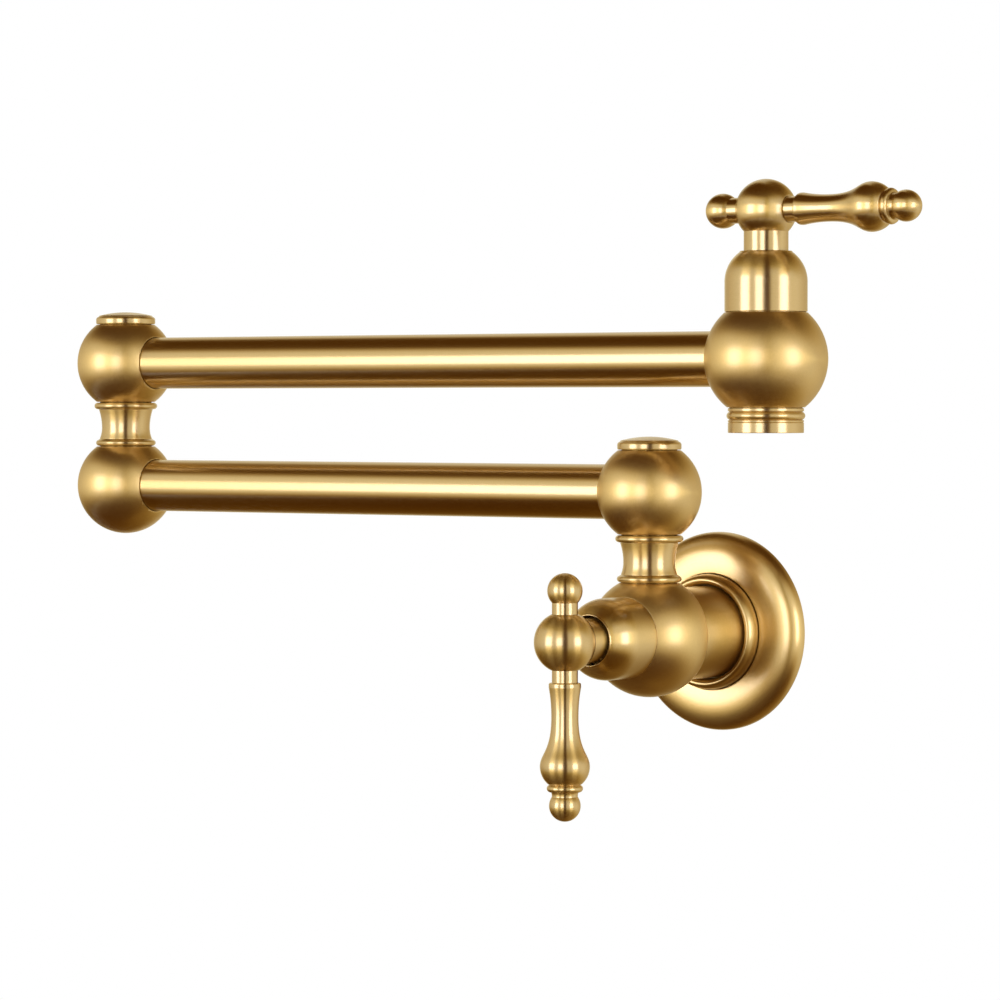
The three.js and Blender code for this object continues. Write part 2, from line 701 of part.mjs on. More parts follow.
// Its height runs into the wall.
function nipple() {
  const inner = NIPPLE_R - NIPPLE_WALL;
  const inside = -(TAIL_BACK + NIPPLE_GRIP) + FIT;
  return turn([
    [inner, inside],
    [NIPPLE_R - NIPPLE_CHAMFER, inside],
    [NIPPLE_R, inside + NIPPLE_CHAMFER],
    [NIPPLE_R, NIPPLE_OUT - NIPPLE_CHAMFER],
    [NIPPLE_R - NIPPLE_CHAMFER, NIPPLE_OUT],
    [inner, NIPPLE_OUT],
  ], MEDIUM);
}

function sleeve() {
  const front = REACH - VALVE_REAR_CUT - FIT;
  return turn(ringOutline(tailR + FIT, sleeveR, SLEEVE_BACK, front), FINE);
}

function flange() {
  const boreR = collarR + FIT;
  const pocketR = boreR + COLLAR_STEP + FIT;
  const rimInner = FLANGE_R - BREAK - FLANGE_FOOT_W;
  const face = bend([FLANGE_R, FLANGE_RIM], [FLANGE_R, FLANGE_RIM + FLANGE_SHOULDER],
    [boreR + FACE_RUN, FLANGE_TOP + FACE_RISE], [boreR, FLANGE_TOP - FACE_DIP], 8);
  return turn([
    [rimInner, 0],
    [FLANGE_R - BREAK, 0],
    [FLANGE_R, BREAK],
    ...face,
    [boreR, FLANGE_TOP - FLANGE_LIP],
    [pocketR, FLANGE_TOP - FLANGE_LIP],
    [rimInner, FLANGE_HOLLOW],
  ], FINE);
}

function collar() {
  const lipBack = FLANGE_TOP - FLANGE_LIP - FIT;
  const ringR = collarBoreR + COLLAR_RING_SECTION + FIT;
  const grooveHalf = COLLAR_RING_SECTION / 2 + FIT;
  const frontFoot = FLANGE_TOP + FIT;
  const front = arc(collarR - COLLAR_W / 2, frontFoot, COLLAR_W / 2, 0, Math.PI / 1.2, 6,
    COLLAR_TOP - frontFoot);
  const innerEdge = front.at(-1)[1] - BREAK;
  return turn([
    [collarBoreR, lipBack - COLLAR_STEP_H],
    [collarR + COLLAR_STEP, lipBack - COLLAR_STEP_H],
    [collarR + COLLAR_STEP, lipBack],
    [collarR, lipBack],
    ...front,
    [collarBoreR, innerEdge],
    [collarBoreR, COLLAR_RING_AT + grooveHalf],
    [ringR, COLLAR_RING_AT + grooveHalf],
    [ringR, COLLAR_RING_AT - grooveHalf],
    [collarBoreR, COLLAR_RING_AT - grooveHalf],
  ], FINE);
}

// ---- Outlet --------------------------------------------------------------------------------

function outletBall() {
  const threadBoreR = AERATOR_THREAD_R + FIT;
  const roof = -aeratorFlat + AERATOR_THREAD_H + AERATOR_WASHER_H + FIT;
  const body = turn([
    [threadBoreR, -aeratorFlat],
    ...ballSide(VALVE_BALL_R, -aeratorFlat, bellFlat, 9),
    ...valveBore,
    [WATERWAY_R, roof],
    [threadBoreR, roof],
  ], FINE);
  return tubeSocket(body, -1, OUTLET_TUBE_STOP, CAVITY_R);
}

function aeratorShell() {
  const foot = -AERATOR_H;
  const threadTop = AERATOR_THREAD_H - FIT;
  const beadLow = -AERATOR_BEAD_AT - AERATOR_BEAD_H / 2;
  return turn([
    [AERATOR_BORE_R - AERATOR_LIP, foot],
    [AERATOR_R - BREAK, foot],
    [AERATOR_R, foot + BREAK],
    [AERATOR_R, -AERATOR_GROOVE_AT],
    [AERATOR_R - BREAK, -AERATOR_GROOVE_AT + BREAK],
    ...bead(AERATOR_BEAD_R, beadLow, beadLow + AERATOR_BEAD_H),
    [AERATOR_R, beadLow + AERATOR_BEAD_H],
    [AERATOR_R, 0],
    [AERATOR_THREAD_R, 0],
    [AERATOR_THREAD_R, threadTop],
    [AERATOR_BORE_R, threadTop],
    [AERATOR_BORE_R, foot + AERATOR_LIP],
    [AERATOR_BORE_R - AERATOR_LIP, foot + AERATOR_LIP],
  ], MEDIUM);
}

function aeratorInsert() {
  const radius = AERATOR_BORE_R - FIT;
  const foot = -AERATOR_H + AERATOR_LIP + FIT;
  const top = AERATOR_THREAD_H - FIT;
  const body = turn([[0, foot], [radius, foot], [radius, top], [0, top]], MEDIUM);
  const ring = Array.from({ length: AERATOR_HOLES }, (_, i) => {
    const angle = (2 * Math.PI * i) / AERATOR_HOLES;
    return [AERATOR_HOLE_RING * Math.cos(angle), AERATOR_HOLE_RING * Math.sin(angle), 0];
  });
  return [[0, 0, 0], ...ring].reduce((rest, at) => {
    const hole = bar(AERATOR_HOLE_R, foot - OVERCUT, top + OVERCUT, 'z', PORT, at);
    return rest.subtract(hole);
  }, body);
}

function aeratorWasher() {
  return turn(ringOutline(WATERWAY_R + FIT, AERATOR_THREAD_R, 0, AERATOR_WASHER_H), MEDIUM);
}

// ---- Assembly ------------------------------------------------------------------------------

// Fixed to the wall
const wallBody = group(potFiller, 0, 0, 0);
const inletValve = group(wallBody, 0, -REACH, 0);
inletValve.rotation.x = Math.PI / 2;
place(inletValve, 'valve_body', valveBody(), gold);
addCartridge(inletValve, 'inlet', Math.PI / 2);

const atWall = group(wallBody, 0, 0, 0);
atWall.rotation.x = Math.PI / 2;
place(atWall, 'wall_flange', flange(), gold);
place(atWall, 'flange_collar', collar(), gold);
const gripRing = sealingRing(collarBoreR, COLLAR_RING_SECTION, MEDIUM);
place(atWall, 'flange_o_ring', gripRing, rubber).position.z = COLLAR_RING_AT;
place(atWall, 'body_sleeve', sleeve(), gold);
place(wallBody, 'inlet_nipple', nipple(), brass).rotation.x = -Math.PI / 2;

const inletHandle = group(inletValve, 0, 0, 0);
inletHandle.rotation.z = -Math.PI / 2;
addHandle(inletHandle, 'inlet', Math.PI);

// Lower arm
const shoulder = group(potFiller, 0, -REACH, shoulderZ);
const lowerArm = group(shoulder, 0, 0, 0);
addSwivel(shoulder, lowerArm, 'shoulder', 'shoulder_ball', -1);
const lowerTube = armTube(LOWER_ARM, TUBE_STOP, TUBE_STOP);
place(lowerArm, 'lower_tube', lowerTube, gold).rotation.y = -Math.PI / 2;
const elbowLower = group(lowerArm, -LOWER_ARM, 0, 0);
place(elbowLower, 'elbow_lower_ball', elbowLowerBall(), gold);

// Upper arm
const elbow = group(elbowLower, 0, 0, elbowRise);
const upperArm = group(elbow, 0, 0, 0);
addSwivel(elbow, upperArm, 'elbow', 'elbow_upper_ball', 1);
const upperTube = armTube(UPPER_ARM, TUBE_STOP, OUTLET_TUBE_STOP);
place(upperArm, 'upper_tube', upperTube, gold).rotation.y = Math.PI / 2;

// Outlet
const outlet = group(upperArm, UPPER_ARM, 0, 0);
place(outlet, 'outlet_ball', outletBall(), gold);
addCartridge(outlet, 'outlet', 0);
const aerator = group(outlet, 0, 0, -aeratorFlat - FIT);
place(aerator, 'aerator_shell', aeratorShell(), gold);
place(aerator, 'aerator_insert', aeratorInsert(), nylon);
place(aerator, 'aerator_washer', aeratorWasher(), rubber).position.z = AERATOR_THREAD_H;

const outletHandle = group(outlet, 0, 0, 0);
addHandle(outletHandle, 'outlet', 0);

export default potFiller;
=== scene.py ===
"""Wall mounted pot filler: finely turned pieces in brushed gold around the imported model.

Outlines are in millimetres. Each piece is turned about its own Z, and its heights run along it.
"""

import json
import math

import bmesh
import bpy
from mathutils import Matrix, Vector

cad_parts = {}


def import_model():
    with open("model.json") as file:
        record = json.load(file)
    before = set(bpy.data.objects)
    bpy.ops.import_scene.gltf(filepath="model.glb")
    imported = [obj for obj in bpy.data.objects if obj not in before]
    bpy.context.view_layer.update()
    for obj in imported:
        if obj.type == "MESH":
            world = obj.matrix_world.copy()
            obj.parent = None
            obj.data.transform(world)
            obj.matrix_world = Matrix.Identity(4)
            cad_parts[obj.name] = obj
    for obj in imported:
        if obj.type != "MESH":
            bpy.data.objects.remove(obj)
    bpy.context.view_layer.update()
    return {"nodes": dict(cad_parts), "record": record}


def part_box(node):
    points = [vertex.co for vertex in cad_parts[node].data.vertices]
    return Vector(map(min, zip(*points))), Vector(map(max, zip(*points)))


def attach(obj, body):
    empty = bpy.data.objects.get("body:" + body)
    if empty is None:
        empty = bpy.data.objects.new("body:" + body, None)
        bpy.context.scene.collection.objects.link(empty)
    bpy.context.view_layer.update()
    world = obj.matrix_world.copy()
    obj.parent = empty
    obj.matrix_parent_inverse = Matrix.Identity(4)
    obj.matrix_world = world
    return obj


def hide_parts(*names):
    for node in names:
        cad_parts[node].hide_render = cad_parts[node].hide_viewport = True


MM = 0.001
SAME_POINT = 1e-6  # metres
FIT = 0.3  # gap between the seats of neighbouring pieces
SEAM = 0.26  # gap that shows between them
EDGE = 0.25  # rounding of a turned edge
THREAD_EDGE = 0.05
FACE_WEIGHT = 80  # how much larger faces count when corners are shaded
SIDES = 128  # facets round a turned piece
FLANGE_SIDES = 192
COLLAR_SIDES = 160
SMALL_SIDES = 96  # round levers, finials and their seats
SCREW_SIDES = 48
HOLE_SIDES = 16
PAST = 1  # how far a cutter reaches past the surface that it opens

# Sections of the visible pieces
JOINT_BALL_R = 19
JOINT_SEAT_R = 11.4
VALVE_BALL_R = 22.1
VALVE_SEAT_R = 10.8
VALVE_REAR_CUT = 7
TUBE_R = 10
TUBE_WALL = 1.4
SOCKET_R = 10.15
SOCKET_MOUTH = 0.35  # width of the bevel round a tube's socket
SOCKET_DEPTH = 6
BORE_R = 8
POST_HOLE_R = 5.7
POST_HOLE_FLOOR = 7
VALVE_TOP_CUT_R = 13.8  # flat that is cut on the valve ball for its spool
SPIGOT_R = 10.1
SPIGOT_BORE_R = 9.5  # clear of the slide ring
SPIGOT_H = 1
RECESS_R = 10.35  # round a spigot
RECESS_H = 1.6

SPOOL_WAIST_R = 9.42
SPOOL_WAIST_AT = 7.2
SPOOL_FLARE_R = 10.25
SPOOL_FLARE_TOP_R = 10.55
SPOOL_FOOT_EASE = 0.4  # height between the foot bead and the flare
SPOOL_FOOT_BEAD_R = 11.75
SPOOL_FOOT_BEAD_H = 2.3
SPOOL_TOP_BEAD_R = 12.35
SPOOL_TOP_BEAD_H = 2.6
SPOOL_H = 17
BEAD_EASE = 0.1  # height between a bead and the surface beside it

CAP_R = 11.65
CAP_RIM_H = 2.9
CAP_EDGE = 1.3
CAP_EDGE_TURN = 74  # degrees
CAP_FOOT_EASE = 0.15
CAP_FOOT_H = 0.5
CAP_DOME_H = 1.75
CAP_SPIGOT_BORE_R = 7.3
CAP_SEAT_DEPTH = 4.7  # bore under the cap

BELL_R = 14.75
BELL_H = 21.5
BELL_STRAIGHT = 10.6
BELL_WALL = 2.2
BELL_MOUTH_R = 8.95
BELL_LIP = 0.5
BELL_LIP_H = 0.4
BELL_LIP_TOP = 0.3
BELL_SPIGOT_R = 14.25
BELL_SEAT_BORE_R = 12.45
BELL_SEAT_R = 14.4  # groove for the spigot
BELL_SEAT_DEPTH = 1.6

HUB_R = 11
HUB_NECK_R = 7.95
CAD_HUB_NECK_R = 8  # sets how far out the hub sits
HUB_NECK_SHOW = 7
HUB_FOOT_DEPTH = 5.1  # neck inside the bell
HUB_NECK_SUNK = 1.2  # neck inside the ball
NECK_R = 4.6
NECK_SOCKET_R = 4.85
NECK_SOCKET_GAP = 0.05
SPOT_DEPTH = 0.4
STEM_R = 4.2
GRUB_R = 1.9
GRUB_PLAY = 0.15
GRUB_SUNK = 0.4
GRUB_EDGE = 0.15
GRUB_SOCKET_R = 1.1
GRUB_SOCKET_FLOOR = 6

FINIAL_AT = 18.2
FINIAL_R = 6.25

LEVER_COLLAR_AT = 14.3
LEVER_COLLAR_R = 5.72
LEVER_COLLAR_H = 1.5
LEVER_COLLAR_EASE = (0.2, 0.5)  # across and along
LEVER_WAIST_AT = 26.5
LEVER_WAIST_R = 4.8
LEVER_BULB_AT = 43.8
LEVER_BULB_R = 8.85
LEVER_BULB_END = 50
LEVER_BULB_END_R = 6.05
LEVER_BEAD_R = 6.42
LEVER_BEAD_H = 2.7
LEVER_BEAD_GAP = 0.2
LEVER_GROOVE_R = 4.62
LEVER_GROOVE_W = 1.1
LEVER_GROOVE_EASE = (0.2, 0.3)  # across and along
LEVER_BALL_AT = 57.7
LEVER_BALL_R = 5.6

AERATOR_R = 13.52
AERATOR_H = 8.75
AERATOR_BEAD_R = 14
AERATOR_BEAD_H = 3
AERATOR_BEAD_AT = 2.65
AERATOR_GROOVE_AT = 5
AERATOR_THREAD_R = 12
AERATOR_THREAD_H = 4.5
AERATOR_SEAT_H = 6.6  # bore that holds the aerator's thread and washer
AERATOR_NECK_R = 13
AERATOR_NECK_H = 1
AERATOR_GROOVE = 0.3
AERATOR_BORE_R = 9.6
AERATOR_LIP = 1
AERATOR_HOLE_R = 0.55
AERATOR_HOLE_PITCH = 1.55
AERATOR_HOLE_DEPTH = 2.5
AERATOR_HOLE_MARGIN = 2.4  # solid edge of the perforated disc
AERATOR_HOLE_RINGS = 4

TAIL_R = 14.58
TAIL_BORE_R = 10.78
TAIL_BACK = 2.6
REACH = 47.6
SLEEVE_R = 16.98
SLEEVE_WALL = 2.1
SLEEVE_BACK = 2
NIPPLE_R = 10.48
NIPPLE_WALL = 2.9
NIPPLE_OUT = 32
THREAD_PITCH = 1.814
THREAD_DEPTH = 1.16
THREAD_STEEPNESS = 1.3
THREAD_CREST = 0.15  # share of the pitch that is left flat
THREAD_RUN_OUT = 1.5
THREAD_END_DROP = 0.8  # how much thinner the thread's end is
THREAD_STEPS = 12  # heights in each turn

FLANGE_R = 36.7
FLANGE_RIM = 1.3
FLANGE_EASE = 0.4
FLANGE_SHOULDER = 5.2
FLANGE_FOOT_W = 3.3
FLANGE_HOLLOW = 2.6
FLANGE_TOP = 8
FACE_RUN = 9
FACE_RISE = 0.55
FACE_DIP = 0.25
FLANGE_LIP = 3
COLLAR_BORE_R = 17.1
COLLAR_R = 21.28
COLLAR_TOP = 12.9
COLLAR_TURN = 160  # degrees that its round front goes on for
COLLAR_THROAT = 1  # height of the bore's edge over the flange
COLLAR_STEP = 2.6
COLLAR_STEP_H = 3


def chord(radius, offset):
    return math.sqrt(radius**2 - offset**2)


JOINT_FLAT = chord(JOINT_BALL_R, JOINT_SEAT_R)
BELL_FLAT = chord(VALVE_BALL_R, BELL_R)
AERATOR_FLAT = chord(VALVE_BALL_R, AERATOR_R + FIT)

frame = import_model()


# ---- Outlines: lists of (radius, height), with the radius to the right -----------------------


def arc(radius, height, size, start, end, steps, half_height=None):
    """Round or oval stretch about a centre, between two angles in degrees."""
    tall = size if half_height is None else half_height
    angles = [math.radians(start + (end - start) * i / steps) for i in range(steps + 1)]
    return [(radius + size * math.cos(a), height + tall * math.sin(a)) for a in angles]


def bend(start, leave, arrive, end, steps):
    """Cubic curve from start to end."""
    shares = [i / steps for i in range(steps + 1)]
    weights = [((1 - t) ** 3, 3 * t * (1 - t) ** 2, 3 * t * t * (1 - t), t**3) for t in shares]
    corners = (start, leave, arrive, end)
    return [tuple(sum(w * c[k] for w, c in zip(row, corners)) for k in (0, 1)) for row in weights]


def swell(start, end, leave_share, arrive_share, steps):
    """Curve that leaves and arrives along the height, for these shares of the way."""
    rise = end[1] - start[1]
    leave = (start[0], start[1] + leave_share * rise)
    arrive = (end[0], end[1] - arrive_share * rise)
    return bend(start, leave, arrive, end, steps)


def ball_side(radius, low, high, steps=64, centre=0):
    """Side of a ball between two heights from its centre."""
    angles = (math.degrees(math.asin(low / radius)), math.degrees(math.asin(high / radius)))
    return arc(0, centre, radius, *angles, steps)


def bead(radius, low, high, turn=75, steps=10):
    """Rounded ring between two heights."""
    half = (high - low) / 2
    return arc(radius - half, low + half, half, -turn, turn, steps)


def soften(outline, size=EDGE, steps=4, gentle=25, most=0.45):
    """The outline with each sharp corner rounded, over at most this share of its neighbours.

    Bends that are gentle, in degrees, and points on the axis stay.
    """
    rounded = []
    count = len(outline)
    for i, point in enumerate(outline):
        here = Vector(point)
        before = Vector(outline[i - 1]) - here
        after = Vector(outline[(i + 1) % count]) - here
        turn = math.pi - before.angle(after)
        if here.x == 0 or turn < math.radians(gentle):
            rounded.append(tuple(here))
            continue
        cut = min(size * math.tan(turn / 2), most * before.length, most * after.length)
        first = here + before.normalized() * cut
        last = here + after.normalized() * cut
        for k in range(steps + 1):
            t = k / steps
            rounded.append(tuple(first * (1 - t) ** 2 + here * (2 * t * (1 - t)) + last * t * t))
    return rounded


# ---- Meshes -----------------------------------------------------------------------------------


def lathe(outline, sides=SIDES, shape=None):
    """Mesh of an outline turned about Z, closed on the axis or on itself."""
    mesh = bmesh.new()
    rings = []
    for radius, height in outline:
        if radius == 0:
            rings.append([mesh.verts.new((0, 0, height * MM))])
            continue
        ring = []
        for i in range(sides):
            angle = 2 * math.pi * i / sides
            size = (shape(radius, height, angle) if shape else radius) * MM
            ring.append(mesh.verts.new((size * math.cos(angle), size * math.sin(angle), height * MM)))
        rings.append(ring)
    pairs = list(zip(rings, rings[1:]))
    if len(rings[0]) > 1:
        pairs.append((rings[-1], rings[0]))
    for lower, upper in pairs:
        for i in range(sides):
            j = (i + 1) % sides
            if len(lower) == 1 and len(upper) == 1:
                break
            if len(lower) == 1:
                mesh.faces.new((lower[0], upper[j], upper[i]))
            elif len(upper) == 1:
                mesh.faces.new((lower[i], lower[j], upper[0]))
            else:
                mesh.faces.new((lower[i], lower[j], upper[j], upper[i]))
    bmesh.ops.recalc_face_normals(mesh, faces=mesh.faces)
    data = bpy.data.meshes.new("turned")
    mesh.to_mesh(data)
    mesh.free()
    return data


def facing(place, axis):
    """Matrix that puts a piece's origin at a place, with its Z along an axis."""
    tilt = Vector((0, 0, 1)).rotation_difference(Vector(axis)).to_matrix().to_4x4()
    return Matrix.Translation(Vector(place)) @ tilt


def new_object(name, data, matrix):
    made = bpy.data.objects.new(name, data)
    bpy.context.scene.collection.objects.link(made)
    made.matrix_world = matrix
    return made


def cut_away(target, cutters):
    """Takes the cutters' shapes out of an object. A cutter is (outline, matrix, sides)."""
    for outline, matrix, sides in cutters:
        cutter = new_object("cutter", lathe(outline, sides), matrix)
        cut = target.modifiers.new("cut", "BOOLEAN")
        cut.operation = "DIFFERENCE"
        cut.solver = "EXACT"
        cut.object = cutter
        bpy.context.view_layer.update()
        solid = target.evaluated_get(bpy.context.evaluated_depsgraph_get())
        data = bpy.data.meshes.new_from_object(solid)
        target.modifiers.clear()
        target.data = data
        bpy.data.objects.remove(cutter)
    mesh = bmesh.new()
    mesh.from_mesh(target.data)
    bmesh.ops.remove_doubles(mesh, verts=mesh.verts, dist=SAME_POINT)
    bmesh.ops.dissolve_degenerate(mesh, edges=mesh.edges, dist=SAME_POINT)
    mesh.to_mesh(target.data)
    mesh.free()


def piece(name, outline, matrix, body, nodes, material, cutters=(), sides=SIDES, shape=None, edge=EDGE):
    """A turned piece that rides on a body and stands for CAD nodes."""
    made = new_object(name, lathe(soften(outline, edge), sides, shape), matrix)
    if cutters:
        cut_away(made, cutters)
    made.data.materials.clear()
    made.data.materials.append(material)
    made.data.shade_smooth()
    smooth = made.modifiers.new("even_shading", "WEIGHTED_NORMAL")
    smooth.weight = FACE_WEIGHT
    smooth.keep_sharp = True
    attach(made, body)
    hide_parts(*nodes)


# ---- Materials --------------------------------------------------------------------------------


GOLD_LINES = 2600
GOLD_DARK = (0.61, 0.395, 0.1)
GOLD_LIGHT = (0.67, 0.44, 0.125)
WORN_SHINE = 0.05  # how much smoother the worn edges are
LACQUER_IOR = 2.0
QUARTER_TURN = 0.25  # turns the tangent, so that the grain runs round the axis


class Nodes:
    """Short way to add and join the nodes of one material."""

    def __init__(self, name, slot):
        self.material = bpy.data.materials.new(name)
        self.material.use_nodes = True
        self.material["slot"] = slot
        self.tree = self.material.node_tree
        self.shader = self.tree.nodes["Principled BSDF"]

    def add(self, kind, inputs=(), **settings):
        """New node. An input that is a socket gets a link, and any other value is set."""
        node = self.tree.nodes.new("ShaderNode" + kind)
        for key, value in settings.items():
            setattr(node, key, value)
        for key, value in dict(inputs).items():
            if isinstance(value, bpy.types.NodeSocket):
                self.tree.links.new(value, node.inputs[key])
            else:
                node.inputs[key].default_value = value
        return node

    def math(self, operation, *values):
        return self.add("Math", dict(enumerate(values)), operation=operation).outputs[0]

    def set(self, **values):
        for key, value in values.items():
            socket = self.shader.inputs[key.replace("_", " ")]
            if isinstance(value, bpy.types.NodeSocket):
                self.tree.links.new(value, socket)
            else:
                socket.default_value = value


def turned_grain(nodes, lines, axis="Z", along=6, least_radius=1e-5):
    """Grey value of the fine rings that a turned and brushed surface has, in lines per metre."""
    place = nodes.add("TexCoord").outputs["Object"]
    sides = nodes.add("SeparateXYZ", {0: place}).outputs
    x, y, z = (sides[1], sides[2], sides[0]) if axis == "X" else sides
    squares = nodes.math("ADD", nodes.math("MULTIPLY", x, x), nodes.math("MULTIPLY", y, y))
    radius = nodes.math("SQRT", squares)
    safe = nodes.math("MAXIMUM", radius, least_radius)
    first = nodes.math("MULTIPLY", nodes.math("DIVIDE", x, safe), along)
    second = nodes.math("MULTIPLY", nodes.math("DIVIDE", y, safe), along)
    height = nodes.math("MULTIPLY", z, lines)
    vector = nodes.add("CombineXYZ", {0: first, 1: second, 2: height}).outputs[0]
    depth = nodes.math("MULTIPLY", radius, lines)
    settings = {"Vector": vector, "W": depth, "Scale": 1, "Detail": 3, "Roughness": 0.6}
    return nodes.add("TexNoise", settings, noise_dimensions="4D").outputs["Fac"]


def spread(nodes, value, low, high, start=0.3, end=0.7):
    """Value stretched from its usual noise range to a range of its own."""
    inputs = {"Value": value, "From Min": start, "From Max": end, "To Min": low, "To Max": high}
    return nodes.add("MapRange", inputs).outputs["Result"]


def tinted(nodes, value, dark, light):
    """Colour between two, by a value. The node's sockets 6 and 7 are those of its colours."""
    inputs = {0: value, 6: (*dark, 1), 7: (*light, 1)}
    return nodes.add("Mix", inputs, data_type="RGBA").outputs[2]


def relief(nodes, height, strength, depth):
    """Normal that a fine relief gives. The depth is in metres."""
    inputs = {"Strength": strength, "Distance": depth, "Height": height}
    return nodes.add("Bump", inputs).outputs[0]


def brushed_gold(name, roughness, streak, coat, axis="Z", ridges=0.12):
    """Lacquered gold brushed round an axis, which draws reflections out along it by the share streak.

    The roughness has a low and a high end, and the coat is the lacquer's weight and roughness.
    """
    nodes = Nodes(name, "gold")
    grain = turned_grain(nodes, GOLD_LINES, axis)
    cloud = nodes.add("TexNoise", {"Scale": 55, "Detail": 3}).outputs["Fac"]
    edge = nodes.add("NewGeometry").outputs["Pointiness"]
    worn = spread(nodes, edge, 0, 1, start=0.52, end=0.6)
    tone = nodes.math("ADD", nodes.math("MULTIPLY", grain, 0.5), nodes.math("MULTIPLY", cloud, 0.5))
    colour = tinted(nodes, spread(nodes, tone, 0, 1), GOLD_DARK, GOLD_LIGHT)
    shine = nodes.math("MULTIPLY", worn, WORN_SHINE)
    rough = nodes.math("SUBTRACT", spread(nodes, tone, *roughness), shine)
    normal = relief(nodes, grain, ridges, depth=0.00002)
    tangent = nodes.add("Tangent", direction_type="RADIAL", axis=axis).outputs[0]
    nodes.set(Base_Color=colour, Roughness=rough, Metallic=1.0, Normal=normal)
    nodes.set(Anisotropic=streak, Anisotropic_Rotation=QUARTER_TURN, Tangent=tangent)
    nodes.set(Coat_Weight=coat[0], Coat_Roughness=coat[1], Coat_IOR=LACQUER_IOR)
    return nodes.material


def bare_brass():
    nodes = Nodes("bare_brass", "plain_brass")
    grain = turned_grain(nodes, lines=1800)
    shade = spread(nodes, grain, 0, 1)
    colour = tinted(nodes, shade, dark=(0.5, 0.36, 0.14), light=(0.66, 0.5, 0.24))
    normal = relief(nodes, grain, strength=0.4, depth=0.00003)
    nodes.set(Base_Color=colour, Roughness=spread(nodes, grain, low=0.3, high=0.48), Metallic=1.0)
    nodes.set(Normal=normal)
    return nodes.material


def plain_steel():
    nodes = Nodes("plain_steel", "steel")
    grain = turned_grain(nodes, lines=3000)
    shade = spread(nodes, grain, 0, 1)
    colour = tinted(nodes, shade, dark=(0.42, 0.42, 0.43), light=(0.56, 0.56, 0.57))
    nodes.set(Base_Color=colour, Roughness=spread(nodes, grain, low=0.25, high=0.4), Metallic=1.0)
    return nodes.material


def sealing_rubber():
    nodes = Nodes("sealing_rubber", "rubber")
    cloud = nodes.add("TexNoise", {"Scale": 900, "Detail": 4}).outputs["Fac"]
    colour = tinted(nodes, cloud, dark=(0.012, 0.012, 0.013), light=(0.03, 0.03, 0.032))
    normal = relief(nodes, cloud, strength=0.3, depth=0.00005)
    nodes.set(Base_Color=colour, Roughness=spread(nodes, cloud, low=0.6, high=0.8), Normal=normal)
    return nodes.material


def white_ceramic():
    nodes = Nodes("white_ceramic", "ceramic")
    cloud = nodes.add("TexNoise", {"Scale": 700, "Detail": 3}).outputs["Fac"]
    colour = tinted(nodes, cloud, dark=(0.76, 0.74, 0.69), light=(0.84, 0.82, 0.77))
    nodes.set(Base_Color=colour, Roughness=spread(nodes, cloud, low=0.18, high=0.3))
    return nodes.material


def white_plastic():
    nodes = Nodes("white_plastic", "nylon")
    cloud = nodes.add("TexNoise", {"Scale": 500, "Detail": 4}).outputs["Fac"]
    colour = tinted(nodes, cloud, dark=(0.62, 0.62, 0.6), light=(0.7, 0.7, 0.68))
    normal = relief(nodes, cloud, strength=0.2, depth=0.00003)
    nodes.set(Base_Color=colour, Roughness=spread(nodes, cloud, low=0.4, high=0.55), Normal=normal)
    return nodes.material


GOLD = brushed_gold("brushed_gold", roughness=(0.29, 0.35), streak=0.9, coat=(1.0, 0.2))
DOMED = brushed_gold("domed_gold", roughness=(0.3, 0.34), streak=0.6, coat=(0.9, 0.24), ridges=0.04)
SATIN = brushed_gold("satin_gold", roughness=(0.34, 0.4), streak=0.6, coat=(0.8, 0.32))
SATIN_ACROSS = brushed_gold(
    "satin_gold_across", roughness=(0.35, 0.41), streak=0.6, coat=(0.8, 0.3), axis="X"
)
BRASS = bare_brass()
STEEL = plain_steel()
RUBBER = sealing_rubber()
CERAMIC = white_ceramic()
NYLON = white_plastic()
BY_SLOT = {m["slot"]: m for m in (GOLD, BRASS, STEEL, RUBBER, CERAMIC, NYLON)}


def finish_cad_nodes():
    """The pieces inside keep their CAD shapes and get the same finishes."""
    for part in frame["record"]["subparts"]:
        node = frame["nodes"][part["node"]]
        node.data.materials.clear()
        node.data.materials.append(BY_SLOT[part["material_slot"]])


# ---- Places, from the frame --------------------------------------------------------------------


def middle(node):
    low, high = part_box(node)
    return (low + high) / 2


shoulder_at = Vector((middle("shoulder_cap").x, middle("shoulder_cap").y, middle("shoulder_ball").z))
elbow_at = Vector((middle("elbow_cap").x, middle("elbow_cap").y, middle("elbow_upper_ball").z))
elbow_lower_at = Vector((elbow_at.x, elbow_at.y, shoulder_at.z))
bell_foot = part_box("outlet_bonnet")[0].z
outlet_height = bell_foot - (FIT + BELL_FLAT) * MM
outlet_at = Vector((middle("outlet_bonnet").x, middle("outlet_bonnet").y, outlet_height))
valve_at = Vector((middle("inlet_bonnet").x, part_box("inlet_bonnet")[1].y + (FIT + BELL_FLAT) * MM, 0))
hub_reach = BELL_FLAT + FIT + BELL_H + HUB_NECK_SHOW + chord(HUB_R, CAD_HUB_NECK_R)
UP = Vector((0, 0, 1))
OUT = Vector((0, -1, 0))  # away from the wall
LEFT = Vector((-1, 0, 0))
RIGHT = Vector((1, 0, 0))
AT_WALL = facing((0, 0, 0), OUT)


# ---- Swivels and arms ---------------------------------------------------------------------------


